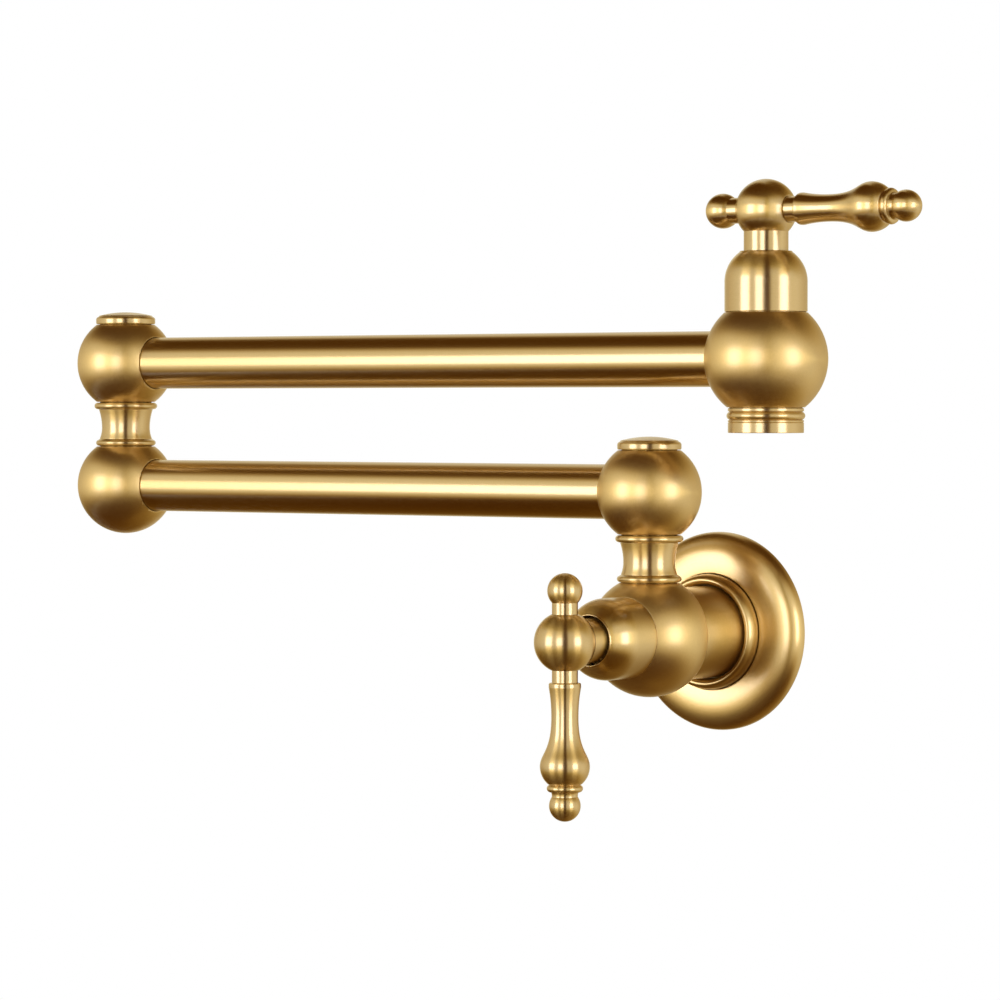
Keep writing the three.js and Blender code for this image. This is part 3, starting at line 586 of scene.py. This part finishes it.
def spool(name, foot, body):
    top = SPOOL_H - SPOOL_TOP_BEAD_H
    flare_foot = (SPOOL_FLARE_R, SPOOL_FOOT_BEAD_H + SPOOL_FOOT_EASE)
    waist = (SPOOL_WAIST_R, SPOOL_WAIST_AT)
    flare_top = (SPOOL_FLARE_TOP_R, top - BEAD_EASE)
    outline = [
        (BORE_R, -FIT - SPIGOT_H),
        (SPIGOT_R, -FIT - SPIGOT_H),
        (SPIGOT_R, SEAM - FIT),
        (SPOOL_FOOT_BEAD_R - SPOOL_FOOT_BEAD_H / 2, SEAM - FIT),
        *bead(SPOOL_FOOT_BEAD_R, 0, SPOOL_FOOT_BEAD_H),
        *swell(flare_foot, waist, leave_share=0.1, arrive_share=0.6, steps=12),
        *swell(waist, flare_top, leave_share=0.55, arrive_share=0.05, steps=14)[1:],
        *bead(SPOOL_TOP_BEAD_R, top, SPOOL_H),
        (SPIGOT_R, SPOOL_H),
        (SPIGOT_R, SPOOL_H + FIT + SPIGOT_H),
        (SPIGOT_BORE_R, SPOOL_H + FIT + SPIGOT_H),
        (SPIGOT_BORE_R, SPOOL_H),
        (BORE_R, SPOOL_H),
    ]
    piece(name, outline, facing(foot, UP), body, [name], GOLD)


def cap(name, seat, body):
    dome_r = (CAP_R**2 + CAP_DOME_H**2) / (2 * CAP_DOME_H)
    dome_angle = math.degrees(math.acos((CAP_R - CAP_EDGE) / dome_r))
    foot = SEAM - FIT
    outline = [
        (0, foot),
        (CAP_SPIGOT_BORE_R, foot),
        (CAP_SPIGOT_BORE_R, foot - SPIGOT_H),
        (SPIGOT_R, foot - SPIGOT_H),
        (SPIGOT_R, foot),
        (CAP_R - CAP_FOOT_EASE, foot),
        (CAP_R, CAP_FOOT_H),
        *arc(CAP_R - CAP_EDGE, CAP_RIM_H - CAP_EDGE, CAP_EDGE, 0, CAP_EDGE_TURN, steps=10),
        *arc(0, CAP_RIM_H + CAP_DOME_H - dome_r, dome_r, dome_angle, 90, steps=20)[:-1],
        (0, CAP_RIM_H + CAP_DOME_H),
    ]
    piece(name, outline, facing(seat, UP), body, [name], GOLD)


def socket_cutter(centre, axis, ball_r):
    """Bore for a tube in the side of a ball, with a bevelled mouth."""
    mouth = chord(ball_r, SOCKET_R)
    outline = [
        (0, mouth - SOCKET_DEPTH),
        (SOCKET_R, mouth - SOCKET_DEPTH),
        (SOCKET_R, mouth - SOCKET_MOUTH),
        (SOCKET_R + 2 * SOCKET_MOUTH, mouth + SOCKET_MOUTH),
        (SOCKET_R + 2 * SOCKET_MOUTH, ball_r + PAST),
        (0, ball_r + PAST),
    ]
    return (outline, facing(centre, axis), SIDES)


def swivel_ball(name, centre, tube_axis, body):
    outline = [
        (BORE_R, RECESS_H - JOINT_FLAT),
        (RECESS_R, RECESS_H - JOINT_FLAT),
        (RECESS_R, -JOINT_FLAT),
        *ball_side(JOINT_BALL_R, -JOINT_FLAT, JOINT_FLAT, steps=48),
        (RECESS_R, JOINT_FLAT),
        (RECESS_R, JOINT_FLAT - CAP_SEAT_DEPTH),
        (BORE_R, JOINT_FLAT - CAP_SEAT_DEPTH),
    ]
    cutters = [socket_cutter(centre, tube_axis, JOINT_BALL_R)]
    piece(name, outline, facing(centre, UP), body, [name], SATIN_ACROSS, cutters)


def tube(name, start, end, body):
    span = (end - start).length / MM
    outline = [
        (TUBE_R - TUBE_WALL, 0),
        (TUBE_R, 0),
        (TUBE_R, span),
        (TUBE_R - TUBE_WALL, span),
    ]
    piece(name, outline, facing(start, (end - start).normalized()), body, [name], GOLD)


def arms():
    spools = (("shoulder_spool", shoulder_at, "wall_body"), ("elbow_spool", elbow_at, "lower_arm"))
    for name, centre, body in spools:
        spool(name, Vector((centre.x, centre.y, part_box(name)[0].z)), body)
    swivel_ball("shoulder_ball", shoulder_at, LEFT, "lower_arm")
    swivel_ball("elbow_upper_ball", elbow_at, RIGHT, "upper_arm")
    cap("shoulder_cap", shoulder_at + UP * (JOINT_FLAT + FIT) * MM, "lower_arm")
    cap("elbow_cap", elbow_at + UP * (JOINT_FLAT + FIT) * MM, "upper_arm")
    for name, body in (("lower_tube", "lower_arm"), ("upper_tube", "upper_arm")):
        low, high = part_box(name)
        centre = (low + high) / 2
        start = Vector((low.x, centre.y, centre.z))
        tube(name, start, Vector((high.x, centre.y, centre.z)), body)
    elbow_lower_ball()


def elbow_lower_ball():
    """Ball that closes the elbow below, with a hole for the post only."""
    outline = [
        (0, -JOINT_BALL_R),
        *ball_side(JOINT_BALL_R, -JOINT_BALL_R, JOINT_FLAT)[1:],
        (RECESS_R, JOINT_FLAT),
        (RECESS_R, JOINT_FLAT - RECESS_H),
        (POST_HOLE_R, JOINT_FLAT - RECESS_H),
        (POST_HOLE_R, POST_HOLE_FLOOR),
        (0, POST_HOLE_FLOOR),
    ]
    name = "elbow_lower_ball"
    cutters = [socket_cutter(elbow_lower_at, RIGHT, JOINT_BALL_R)]
    piece(name, outline, facing(elbow_lower_at, UP), "lower_arm", [name], SATIN_ACROSS, cutters)


# ---- Valves and handles -------------------------------------------------------------------------


BELL_SEAT = (
    (BELL_SEAT_R, BELL_FLAT),
    (BELL_SEAT_R, BELL_FLAT - BELL_SEAT_DEPTH),
    (BELL_SEAT_BORE_R, BELL_FLAT - BELL_SEAT_DEPTH),
    (BELL_SEAT_BORE_R, BELL_FLAT - FIT),
    (TAIL_BORE_R, BELL_FLAT - FIT),
)


def bell(name, centre, axis, body):
    drop = BELL_R - BELL_MOUTH_R - BELL_LIP
    rise = BELL_H - BELL_LIP_H - BELL_STRAIGHT
    dome_r = (rise**2 + drop**2) / (2 * drop)
    dome_at = BELL_R - dome_r
    dome_end = math.degrees(math.asin(rise / dome_r))
    inner_r = dome_r - BELL_WALL
    inner_end = math.degrees(math.acos((BELL_MOUTH_R - dome_at) / inner_r))
    outline = [
        (BELL_R - BELL_WALL, -FIT - SPIGOT_H),
        (BELL_SPIGOT_R, -FIT - SPIGOT_H),
        (BELL_SPIGOT_R, SEAM - FIT),
        (BELL_R, SEAM - FIT),
        *arc(dome_at, BELL_STRAIGHT, dome_r, 0, dome_end, steps=28),
        (BELL_MOUTH_R + BELL_LIP_TOP, BELL_H),
        (BELL_MOUTH_R, BELL_H),
        *arc(dome_at, BELL_STRAIGHT, inner_r, inner_end, 0, steps=12),
    ]
    seat = centre + axis * (BELL_FLAT + FIT) * MM
    piece(name, outline, facing(seat, axis), body, [name], GOLD)


def neck_cutter(hub_at, axis):
    """Spot-faced seat in the hub for the neck of the lever or the finial."""
    seat = chord(HUB_R, NECK_SOCKET_R) - SPOT_DEPTH
    outline = [(0, seat), (NECK_SOCKET_R, seat), (NECK_SOCKET_R, HUB_R + PAST), (0, HUB_R + PAST)]
    return (outline, facing(hub_at, axis), SMALL_SIDES)


def handle(side, centre, axis, lever_axis, body):
    hub_at = centre + axis * hub_reach * MM
    hub(side, hub_at, axis, lever_axis, body)
    seat = chord(HUB_R, NECK_SOCKET_R) - SPOT_DEPTH + NECK_SOCKET_GAP
    lever(f"{side}_lever", hub_at, lever_axis, seat, body)
    finial(f"{side}_finial", hub_at, -lever_axis, seat, body)


def hub(side, hub_at, axis, lever_axis, body):
    """Ball and neck of the hub, and the screw that holds it on the stem."""
    node = f"{side}_handle_hub"
    ball = [
        (0, -HUB_R),
        *ball_side(HUB_R, -HUB_R, HUB_R)[1:-1],
        (0, HUB_R),
    ]
    seats = [neck_cutter(hub_at, lever_axis), neck_cutter(hub_at, -lever_axis)]
    piece(f"{side}_hub_ball", ball, facing(hub_at, lever_axis), body, [node], GOLD, seats)

    neck_meets = chord(HUB_R, HUB_NECK_R)
    root = neck_meets - HUB_NECK_SUNK
    foot = neck_meets + HUB_NECK_SHOW + HUB_FOOT_DEPTH
    neck = [(STEM_R, root), (HUB_NECK_R, root), (HUB_NECK_R, foot), (STEM_R, foot)]
    name = f"{side}_grub_screw"
    grub_at = hub_at - axis * (neck_meets + HUB_NECK_SHOW / 2) * MM
    at = facing(grub_at, (middle(name) - grub_at).normalized())
    end = HUB_NECK_R + PAST
    hole = [(0, STEM_R), (GRUB_R + GRUB_PLAY, STEM_R), (GRUB_R + GRUB_PLAY, end), (0, end)]
    cutters = [(hole, at, SCREW_SIDES)]
    piece(f"{side}_hub_neck", neck, facing(hub_at, -axis), body, [node], GOLD, cutters)

    head = HUB_NECK_R - GRUB_SUNK
    screw = [(0, STEM_R), (GRUB_R, STEM_R), (GRUB_R, head), (0, head)]
    socket = [(0, GRUB_SOCKET_FLOOR), (GRUB_SOCKET_R, GRUB_SOCKET_FLOOR), (GRUB_SOCKET_R, end), (0, end)]
    hexagon = [(socket, at, 6)]
    piece(name, screw, at, body, [name], STEEL, hexagon, sides=SCREW_SIDES, edge=GRUB_EDGE)


def lever(name, hub_at, axis, seat, body):
    collar_end = (LEVER_COLLAR_R, LEVER_COLLAR_AT + LEVER_COLLAR_H)
    waist = (LEVER_WAIST_R, LEVER_WAIST_AT)
    bulb = (LEVER_BULB_R, LEVER_BULB_AT)
    bulb_turn = math.degrees(math.acos(LEVER_BULB_END_R / LEVER_BULB_R))
    bulb_half = (LEVER_BULB_END - LEVER_BULB_AT) / math.sin(math.radians(bulb_turn))
    ball_meets = -chord(LEVER_BALL_R, LEVER_GROOVE_R)
    bead_start = LEVER_BULB_END + LEVER_BEAD_GAP
    bead_end = bead_start + LEVER_BEAD_H
    groove_start = LEVER_BALL_AT + ball_meets - LEVER_GROOVE_W
    outline = [
        (0, seat),
        (NECK_R, seat),
        (NECK_R, LEVER_COLLAR_AT),
        (LEVER_COLLAR_R - LEVER_COLLAR_EASE[0], LEVER_COLLAR_AT),
        (LEVER_COLLAR_R, LEVER_COLLAR_AT + LEVER_COLLAR_EASE[1]),
        *swell(collar_end, waist, leave_share=0.05, arrive_share=0.62, steps=20),
        *swell(waist, bulb, leave_share=0.69, arrive_share=0.26, steps=32)[1:],
        *arc(0, LEVER_BULB_AT, LEVER_BULB_R, 0, bulb_turn, steps=14, half_height=bulb_half)[1:],
        *bead(LEVER_BEAD_R, bead_start, bead_end),
        (LEVER_GROOVE_R + LEVER_GROOVE_EASE[0], bead_end + BEAD_EASE),
        (LEVER_GROOVE_R, groove_start + LEVER_GROOVE_EASE[1]),
        *ball_side(LEVER_BALL_R, ball_meets, LEVER_BALL_R, steps=36, centre=LEVER_BALL_AT)[:-1],
        (0, LEVER_BALL_AT + LEVER_BALL_R),
    ]
    piece(name, outline, facing(hub_at, axis), body, [name], GOLD, sides=SMALL_SIDES)


def finial(name, hub_at, axis, seat, body):
    meets = -chord(FINIAL_R, NECK_R)
    outline = [
        (0, seat),
        (NECK_R, seat),
        *ball_side(FINIAL_R, meets, FINIAL_R, steps=40, centre=FINIAL_AT)[:-1],
        (0, FINIAL_AT + FINIAL_R),
    ]
    piece(name, outline, facing(hub_at, axis), body, [name], GOLD, sides=SMALL_SIDES)


# ---- Wall side ----------------------------------------------------------------------------------


def valve_body():
    tail_end = -(REACH - TAIL_BACK)
    outline = [
        (TAIL_BORE_R, tail_end),
        (TAIL_R, tail_end),
        (TAIL_R, -VALVE_REAR_CUT),
        *ball_side(VALVE_BALL_R, -VALVE_REAR_CUT, BELL_FLAT, steps=44),
        *BELL_SEAT,
    ]
    flat = chord(VALVE_BALL_R, VALVE_SEAT_R)
    top = [
        (0, flat - RECESS_H),
        (RECESS_R, flat - RECESS_H),
        (RECESS_R, flat),
        (VALVE_TOP_CUT_R, flat),
        (VALVE_TOP_CUT_R, VALVE_BALL_R + PAST),
        (0, VALVE_BALL_R + PAST),
    ]
    cutters = [(top, facing(valve_at, UP), SIDES)]
    name = "valve_body"
    piece(name, outline, facing(valve_at, OUT), "wall_body", [name], SATIN, cutters)


def flange():
    bore_r = COLLAR_R + FIT
    pocket_r = bore_r + COLLAR_STEP + FIT
    foot_r = FLANGE_R - FLANGE_EASE
    rim_inner = foot_r - FLANGE_FOOT_W
    rim = (FLANGE_R, FLANGE_RIM)
    shoulder = (FLANGE_R, FLANGE_RIM + FLANGE_SHOULDER)
    slope = (bore_r + FACE_RUN, FLANGE_TOP + FACE_RISE)
    outline = [
        (rim_inner, 0),
        (foot_r, 0),
        (FLANGE_R, FLANGE_EASE),
        *bend(rim, shoulder, slope, (bore_r, FLANGE_TOP - FACE_DIP), steps=48),
        (bore_r, FLANGE_TOP - FLANGE_LIP),
        (pocket_r, FLANGE_TOP - FLANGE_LIP),
        (rim_inner, FLANGE_HOLLOW),
    ]
    name = "wall_flange"
    piece(name, outline, AT_WALL, "wall_body", [name], DOMED, sides=FLANGE_SIDES)


def collar():
    lip_back = FLANGE_TOP - FLANGE_LIP - FIT
    front_foot = FLANGE_TOP + FIT
    half = (COLLAR_R - COLLAR_BORE_R) / 2
    rise = COLLAR_TOP - front_foot
    outline = [
        (COLLAR_BORE_R, lip_back - COLLAR_STEP_H),
        (COLLAR_R + COLLAR_STEP, lip_back - COLLAR_STEP_H),
        (COLLAR_R + COLLAR_STEP, lip_back),
        (COLLAR_R, lip_back),
        *arc(COLLAR_R - half, front_foot, half, 0, COLLAR_TURN, steps=36, half_height=rise),
        (COLLAR_BORE_R, front_foot + COLLAR_THROAT),
    ]
    name = "flange_collar"
    piece(name, outline, AT_WALL, "wall_body", [name], DOMED, sides=COLLAR_SIDES)


def sleeve():
    front = REACH - VALVE_REAR_CUT - FIT
    inner = SLEEVE_R - SLEEVE_WALL
    outline = [(inner, SLEEVE_BACK), (SLEEVE_R, SLEEVE_BACK), (SLEEVE_R, front), (inner, front)]
    piece("body_sleeve", outline, AT_WALL, "wall_body", ["body_sleeve"], GOLD)


def nipple():
    """Supply nipple with its pipe thread cut as a real helix."""
    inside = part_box("inlet_nipple")[0].y / MM
    steps = int((NIPPLE_OUT - inside) / THREAD_PITCH * THREAD_STEPS)
    wall = [(NIPPLE_R, inside + (NIPPLE_OUT - inside) * i / steps) for i in range(steps + 1)]
    outline = [(NIPPLE_R - NIPPLE_WALL, inside), *wall, (NIPPLE_R - NIPPLE_WALL, NIPPLE_OUT)]

    def thread(radius, height, angle):
        if radius < NIPPLE_R - THREAD_DEPTH:
            return radius
        phase = (height / THREAD_PITCH - angle / (2 * math.pi)) % 1
        groove = 1 - abs(2 * phase - 1)
        run_out = min(1, max(0, (NIPPLE_OUT - height) / THREAD_RUN_OUT))
        crest = NIPPLE_R - THREAD_END_DROP * (1 - run_out)
        return crest - THREAD_DEPTH * min(1, max(0, groove * THREAD_STEEPNESS - THREAD_CREST))

    name = "inlet_nipple"
    at = facing((0, 0, 0), -OUT)
    piece(name, outline, at, "wall_body", [name], BRASS, shape=thread, edge=THREAD_EDGE)


# ---- Outlet -------------------------------------------------------------------------------------


def outlet_ball():
    thread_end = AERATOR_SEAT_H - AERATOR_FLAT
    outline = [
        (TAIL_BORE_R, thread_end),
        (AERATOR_THREAD_R + FIT, thread_end),
        (AERATOR_THREAD_R + FIT, AERATOR_NECK_H + FIT - AERATOR_FLAT),
        (AERATOR_NECK_R + FIT, AERATOR_NECK_H + FIT - AERATOR_FLAT),
        (AERATOR_NECK_R + FIT, -AERATOR_FLAT),
        *ball_side(VALVE_BALL_R, -AERATOR_FLAT, BELL_FLAT, steps=52),
        *BELL_SEAT,
    ]
    cutters = [socket_cutter(outlet_at, LEFT, VALVE_BALL_R)]
    name = "outlet_ball"
    piece(name, outline, facing(outlet_at, UP), "upper_arm", [name], SATIN_ACROSS, cutters)


def aerator():
    shoulder = outlet_at - UP * (AERATOR_FLAT + FIT) * MM
    foot = -AERATOR_H
    bead_low = -AERATOR_BEAD_AT - AERATOR_BEAD_H / 2
    bead_top = bead_low + AERATOR_BEAD_H
    outline = [
        (AERATOR_BORE_R - AERATOR_LIP, foot),
        (AERATOR_R, foot),
        (AERATOR_R, -AERATOR_GROOVE_AT - AERATOR_GROOVE / 2),
        (AERATOR_R - AERATOR_GROOVE, -AERATOR_GROOVE_AT),
        (AERATOR_R, -AERATOR_GROOVE_AT + AERATOR_GROOVE / 2),
        (AERATOR_R, bead_low - BEAD_EASE),
        *bead(AERATOR_BEAD_R, bead_low, bead_top),
        (AERATOR_R, bead_top + BEAD_EASE),
        (AERATOR_R, FIT - SEAM),
        (AERATOR_NECK_R, FIT - SEAM),
        (AERATOR_NECK_R, FIT + AERATOR_NECK_H),
        (AERATOR_THREAD_R, FIT + AERATOR_NECK_H),
        (AERATOR_THREAD_R, AERATOR_THREAD_H),
        (AERATOR_BORE_R, AERATOR_THREAD_H),
        (AERATOR_BORE_R, foot + AERATOR_LIP),
        (AERATOR_BORE_R - AERATOR_LIP, foot + AERATOR_LIP),
    ]
    name = "aerator_shell"
    piece(name, outline, facing(shoulder, UP), "upper_arm", [name], GOLD)
    aerator_insert(shoulder)


def aerator_insert(shoulder):
    """Disc in the aerator, with holes on a triangular grid."""
    radius = AERATOR_BORE_R - FIT
    low = AERATOR_LIP + FIT - AERATOR_H
    screen = [(0, low), (radius, low), (radius, 0), (0, 0)]
    start = low - PAST
    end = low + AERATOR_HOLE_DEPTH
    hole = [(0, start), (AERATOR_HOLE_R, start), (AERATOR_HOLE_R, end), (0, end)]
    rings = range(-AERATOR_HOLE_RINGS, AERATOR_HOLE_RINGS + 1)
    cutters = []
    for i in rings:
        for j in rings:
            x = (i + j / 2) * AERATOR_HOLE_PITCH
            y = j * math.sqrt(3) / 2 * AERATOR_HOLE_PITCH
            if math.hypot(x, y) < radius - AERATOR_HOLE_MARGIN:
                cutters.append((hole, facing(shoulder + Vector((x, y, 0)) * MM, UP), HOLE_SIDES))
    name = "aerator_insert"
    piece(name, screen, facing(shoulder, UP), "upper_arm", [name], NYLON, cutters)


# ---- Light, floor and camera --------------------------------------------------------------------

CAMERA_AT = Vector((0.90299, -1.37342, 0.08371))
CAMERA_TURN = 36.188
CAMERA_DOWN = 1.23
LENS = 159.56
SENSOR = 36
LAMP_COLOUR = (0.97, 1, 1.22)  # slightly cool
FOCUS = Vector((-0.07, -0.05, 0.05))


def seen_from(azimuth, elevation):
    """Direction from the object; azimuth is counted from the camera, to the right."""
    turn = math.radians(CAMERA_TURN + azimuth)
    rise = math.radians(elevation)
    return Vector((math.sin(turn) * math.cos(rise), -math.cos(turn) * math.cos(rise), math.sin(rise)))


def camera():
    data = bpy.data.cameras.new("camera")
    data.lens = LENS
    data.sensor_width = SENSOR
    view = bpy.data.objects.new("camera", data)
    bpy.context.scene.collection.objects.link(view)
    view.location = CAMERA_AT
    view.rotation_euler = (math.radians(90 - CAMERA_DOWN), 0, math.radians(CAMERA_TURN))
    bpy.context.scene.camera = view


def softbox(name, azimuths, level, elevations=(-10, 18), distance=4.0):
    """Area lamp that fills a window of directions; a level of 1 is as bright as white."""
    azimuth = sum(azimuths) / 2
    elevation = sum(elevations) / 2
    width = 2 * distance * math.tan(math.radians(azimuths[1] - azimuths[0]) / 2)
    height = 2 * distance * math.tan(math.radians(elevations[1] - elevations[0]) / 2)
    data = bpy.data.lights.new(name, "AREA")
    data.shape = "RECTANGLE"
    data.size = width
    data.size_y = height
    data.energy = level * math.pi * width * height
    data.color = LAMP_COLOUR
    lamp = bpy.data.objects.new(name, data)
    bpy.context.scene.collection.objects.link(lamp)
    direction = seen_from(azimuth, elevation)
    lamp.location = FOCUS + direction * distance
    lamp.rotation_euler = direction.to_track_quat("Z", "Y").to_euler()
    lamp.visible_camera = False


# Sides of the room that the metal mirrors: azimuth, level of the wall, elevations where it fades
# into the floor and the ceiling, degrees that a fade takes, and level of the floor
ROOM = (
    (-180, 0.8, -28, 72, 40, 0.08),
    (-150, 0.5, -12, 24, 26, 0.05),
    (-120, 0.75, -15, 30, 22, 0.04),
    (-90, 1, -20, 38, 18, 0.03),
    (-60, 1, -21, 40, 22, 0.03),
    (20, 1, -23, 41, 26, 0.04),
    (60, 1, -26, 41, 30, 0.06),
    (90, 1.05, -32, 24, 44, 0.14),
    (130, 0.6, -38, 26, 50, 0.15),
    (155, 0.45, -34, 30, 50, 0.12),
    (180, 0.8, -28, 72, 40, 0.08),
)
CEILING = 0.035
STRIP = (-8, 10)  # dark strip straight in front
STRIP_LEVEL = 0.02
STRIP_FADE = 4
WARMTH = (-0.28, 0.7)  # exponents by which red gains and blue loses in the dark
BLUE = 0.9
ROOM_COLUMNS = 120
ROOM_ROW = 3  # degrees
LAMPS = (  # name, azimuths and level
    ("left_box", (-76, -50), 3.2),
    ("left_front_box", (-31, -11), 2.9),
    ("right_box", (36, 60), 3.2),
)
SCREENS = (  # name, elevations and distance in metres
    ("room_upper", (-15, 90), 5.0),
    ("room_lower", (-30, -12), 1.9),
    ("room_floor", (-90, -30), 1.1),
)
ROUGH_LIGHT = 0.75  # level of the white world on rough surfaces
FLOOR_REACH = 3.0
FLOOR_HEIGHT = -1.3


def fade(value, centre, width):
    """Rises from 0 to 1 over this width about the centre, with soft ends."""
    share = min(1, max(0, (value - centre) / width + 0.5))
    return share * share * (3 - 2 * share)


def room_level(azimuth, elevation):
    """Brightness of the room in a direction, where 1 is as bright as white."""
    here, after = next(pair for pair in zip(ROOM, ROOM[1:]) if azimuth <= pair[1][0])
    share = (azimuth - here[0]) / (after[0] - here[0])
    wall, foot, head, width, ground = (a + (b - a) * share for a, b in zip(here[1:], after[1:]))
    level = ground + (wall - ground) * fade(elevation, foot, width)
    level += (CEILING - level) * fade(elevation, head, width)
    strip = fade(azimuth, STRIP[0], STRIP_FADE) - fade(azimuth, STRIP[1], STRIP_FADE)
    return level + (min(level, STRIP_LEVEL) - level) * strip


def warm(level):
    """Colour of the room at a level: white where it is bright, and browner the darker it is."""
    shade = min(level, 1)
    return (level * shade ** WARMTH[0], level, BLUE * level * shade ** WARMTH[1])


def screen(name, elevations, distance):
    """Band of the room between two elevations, which shows only in the metal's reflections."""
    columns = ROOM_COLUMNS
    rows = round((elevations[1] - elevations[0]) / ROOM_ROW)
    corners = []
    colours = []
    for row in range(rows + 1):
        elevation = elevations[0] + (elevations[1] - elevations[0]) * row / rows
        for column in range(columns + 1):
            azimuth = -180 + 360 * column / columns
            level = room_level(azimuth, elevation)
            corners.append(seen_from(azimuth, elevation) * distance)
            colours.extend((*warm(level), 1))
    faces = []
    for row in range(rows):
        for column in range(columns):
            first = row * (columns + 1) + column
            faces.append((first, first + 1, first + columns + 2, first + columns + 1))
    data = bpy.data.meshes.new(name)
    data.from_pydata(corners, [], faces)
    data.color_attributes.new("glow", "FLOAT_COLOR", "POINT").data.foreach_set("color", colours)
    material = bpy.data.materials.new(name)
    material.use_nodes = True
    tree = material.node_tree
    tree.nodes.clear()
    colour = tree.nodes.new("ShaderNodeVertexColor")
    colour.layer_name = "glow"
    glow = tree.nodes.new("ShaderNodeEmission")
    tree.links.new(colour.outputs["Color"], glow.inputs["Color"])
    out = tree.nodes.new("ShaderNodeOutputMaterial")
    tree.links.new(glow.outputs[0], out.inputs["Surface"])
    data.materials.append(material)
    band = new_object(name, data, Matrix.Translation(FOCUS))
    for ray in ("camera", "diffuse", "transmission", "volume_scatter", "shadow"):
        setattr(band, "visible_" + ray, False)


def world():
    """White world, whose level is lower on rough surfaces than in the background and in reflections."""
    data = bpy.data.worlds.new("studio")
    bpy.context.scene.world = data
    data.use_nodes = True
    tree = data.node_tree
    tree.nodes.clear()
    path = tree.nodes.new("ShaderNodeLightPath")
    seen = path.outputs["Is Camera Ray"]
    for ray in ("Is Glossy Ray", "Is Transmission Ray"):
        either = tree.nodes.new("ShaderNodeMath")
        either.operation = "MAXIMUM"
        tree.links.new(seen, either.inputs[0])
        tree.links.new(path.outputs[ray], either.inputs[1])
        seen = either.outputs[0]
    strength = tree.nodes.new("ShaderNodeMapRange")
    strength.inputs["To Min"].default_value = ROUGH_LIGHT
    strength.inputs["To Max"].default_value = 1.0
    tree.links.new(seen, strength.inputs["Value"])
    sky = tree.nodes.new("ShaderNodeBackground")
    sky.inputs["Color"].default_value = (1, 1, 1, 1)
    tree.links.new(strength.outputs["Result"], sky.inputs["Strength"])
    out = tree.nodes.new("ShaderNodeOutputWorld")
    tree.links.new(sky.outputs[0], out.inputs["Surface"])


def floor():
    data = bpy.data.meshes.new("floor")
    reach = FLOOR_REACH
    corners = [(-reach, -reach, 0), (reach, -reach, 0), (reach, reach, 0), (-reach, reach, 0)]
    data.from_pydata(corners, [], [(0, 1, 2, 3)])
    nodes = Nodes("floor", "floor")
    nodes.set(Base_Color=(0.9, 0.9, 0.9, 1), Roughness=0.9)
    data.materials.append(nodes.material)
    ground = new_object("floor", data, Matrix.Translation((0, 0, FLOOR_HEIGHT)))


def studio():
    for name, azimuths, level in LAMPS:
        softbox(name, azimuths, level)
    for name, elevations, distance in SCREENS:
        screen(name, elevations, distance)


finish_cad_nodes()
camera()
arms()
bell("inlet_bonnet", valve_at, OUT, "wall_body")
bell("outlet_bonnet", outlet_at, UP, "upper_arm")
handle("inlet", valve_at, OUT, -UP, "inlet_handle")
handle("outlet", outlet_at, UP, RIGHT, "outlet_handle")
valve_body()
flange()
collar()
sleeve()
nipple()
outlet_ball()
aerator()
world()
floor()
studio()

view = bpy.context.scene.view_settings
view.view_transform = "Standard"
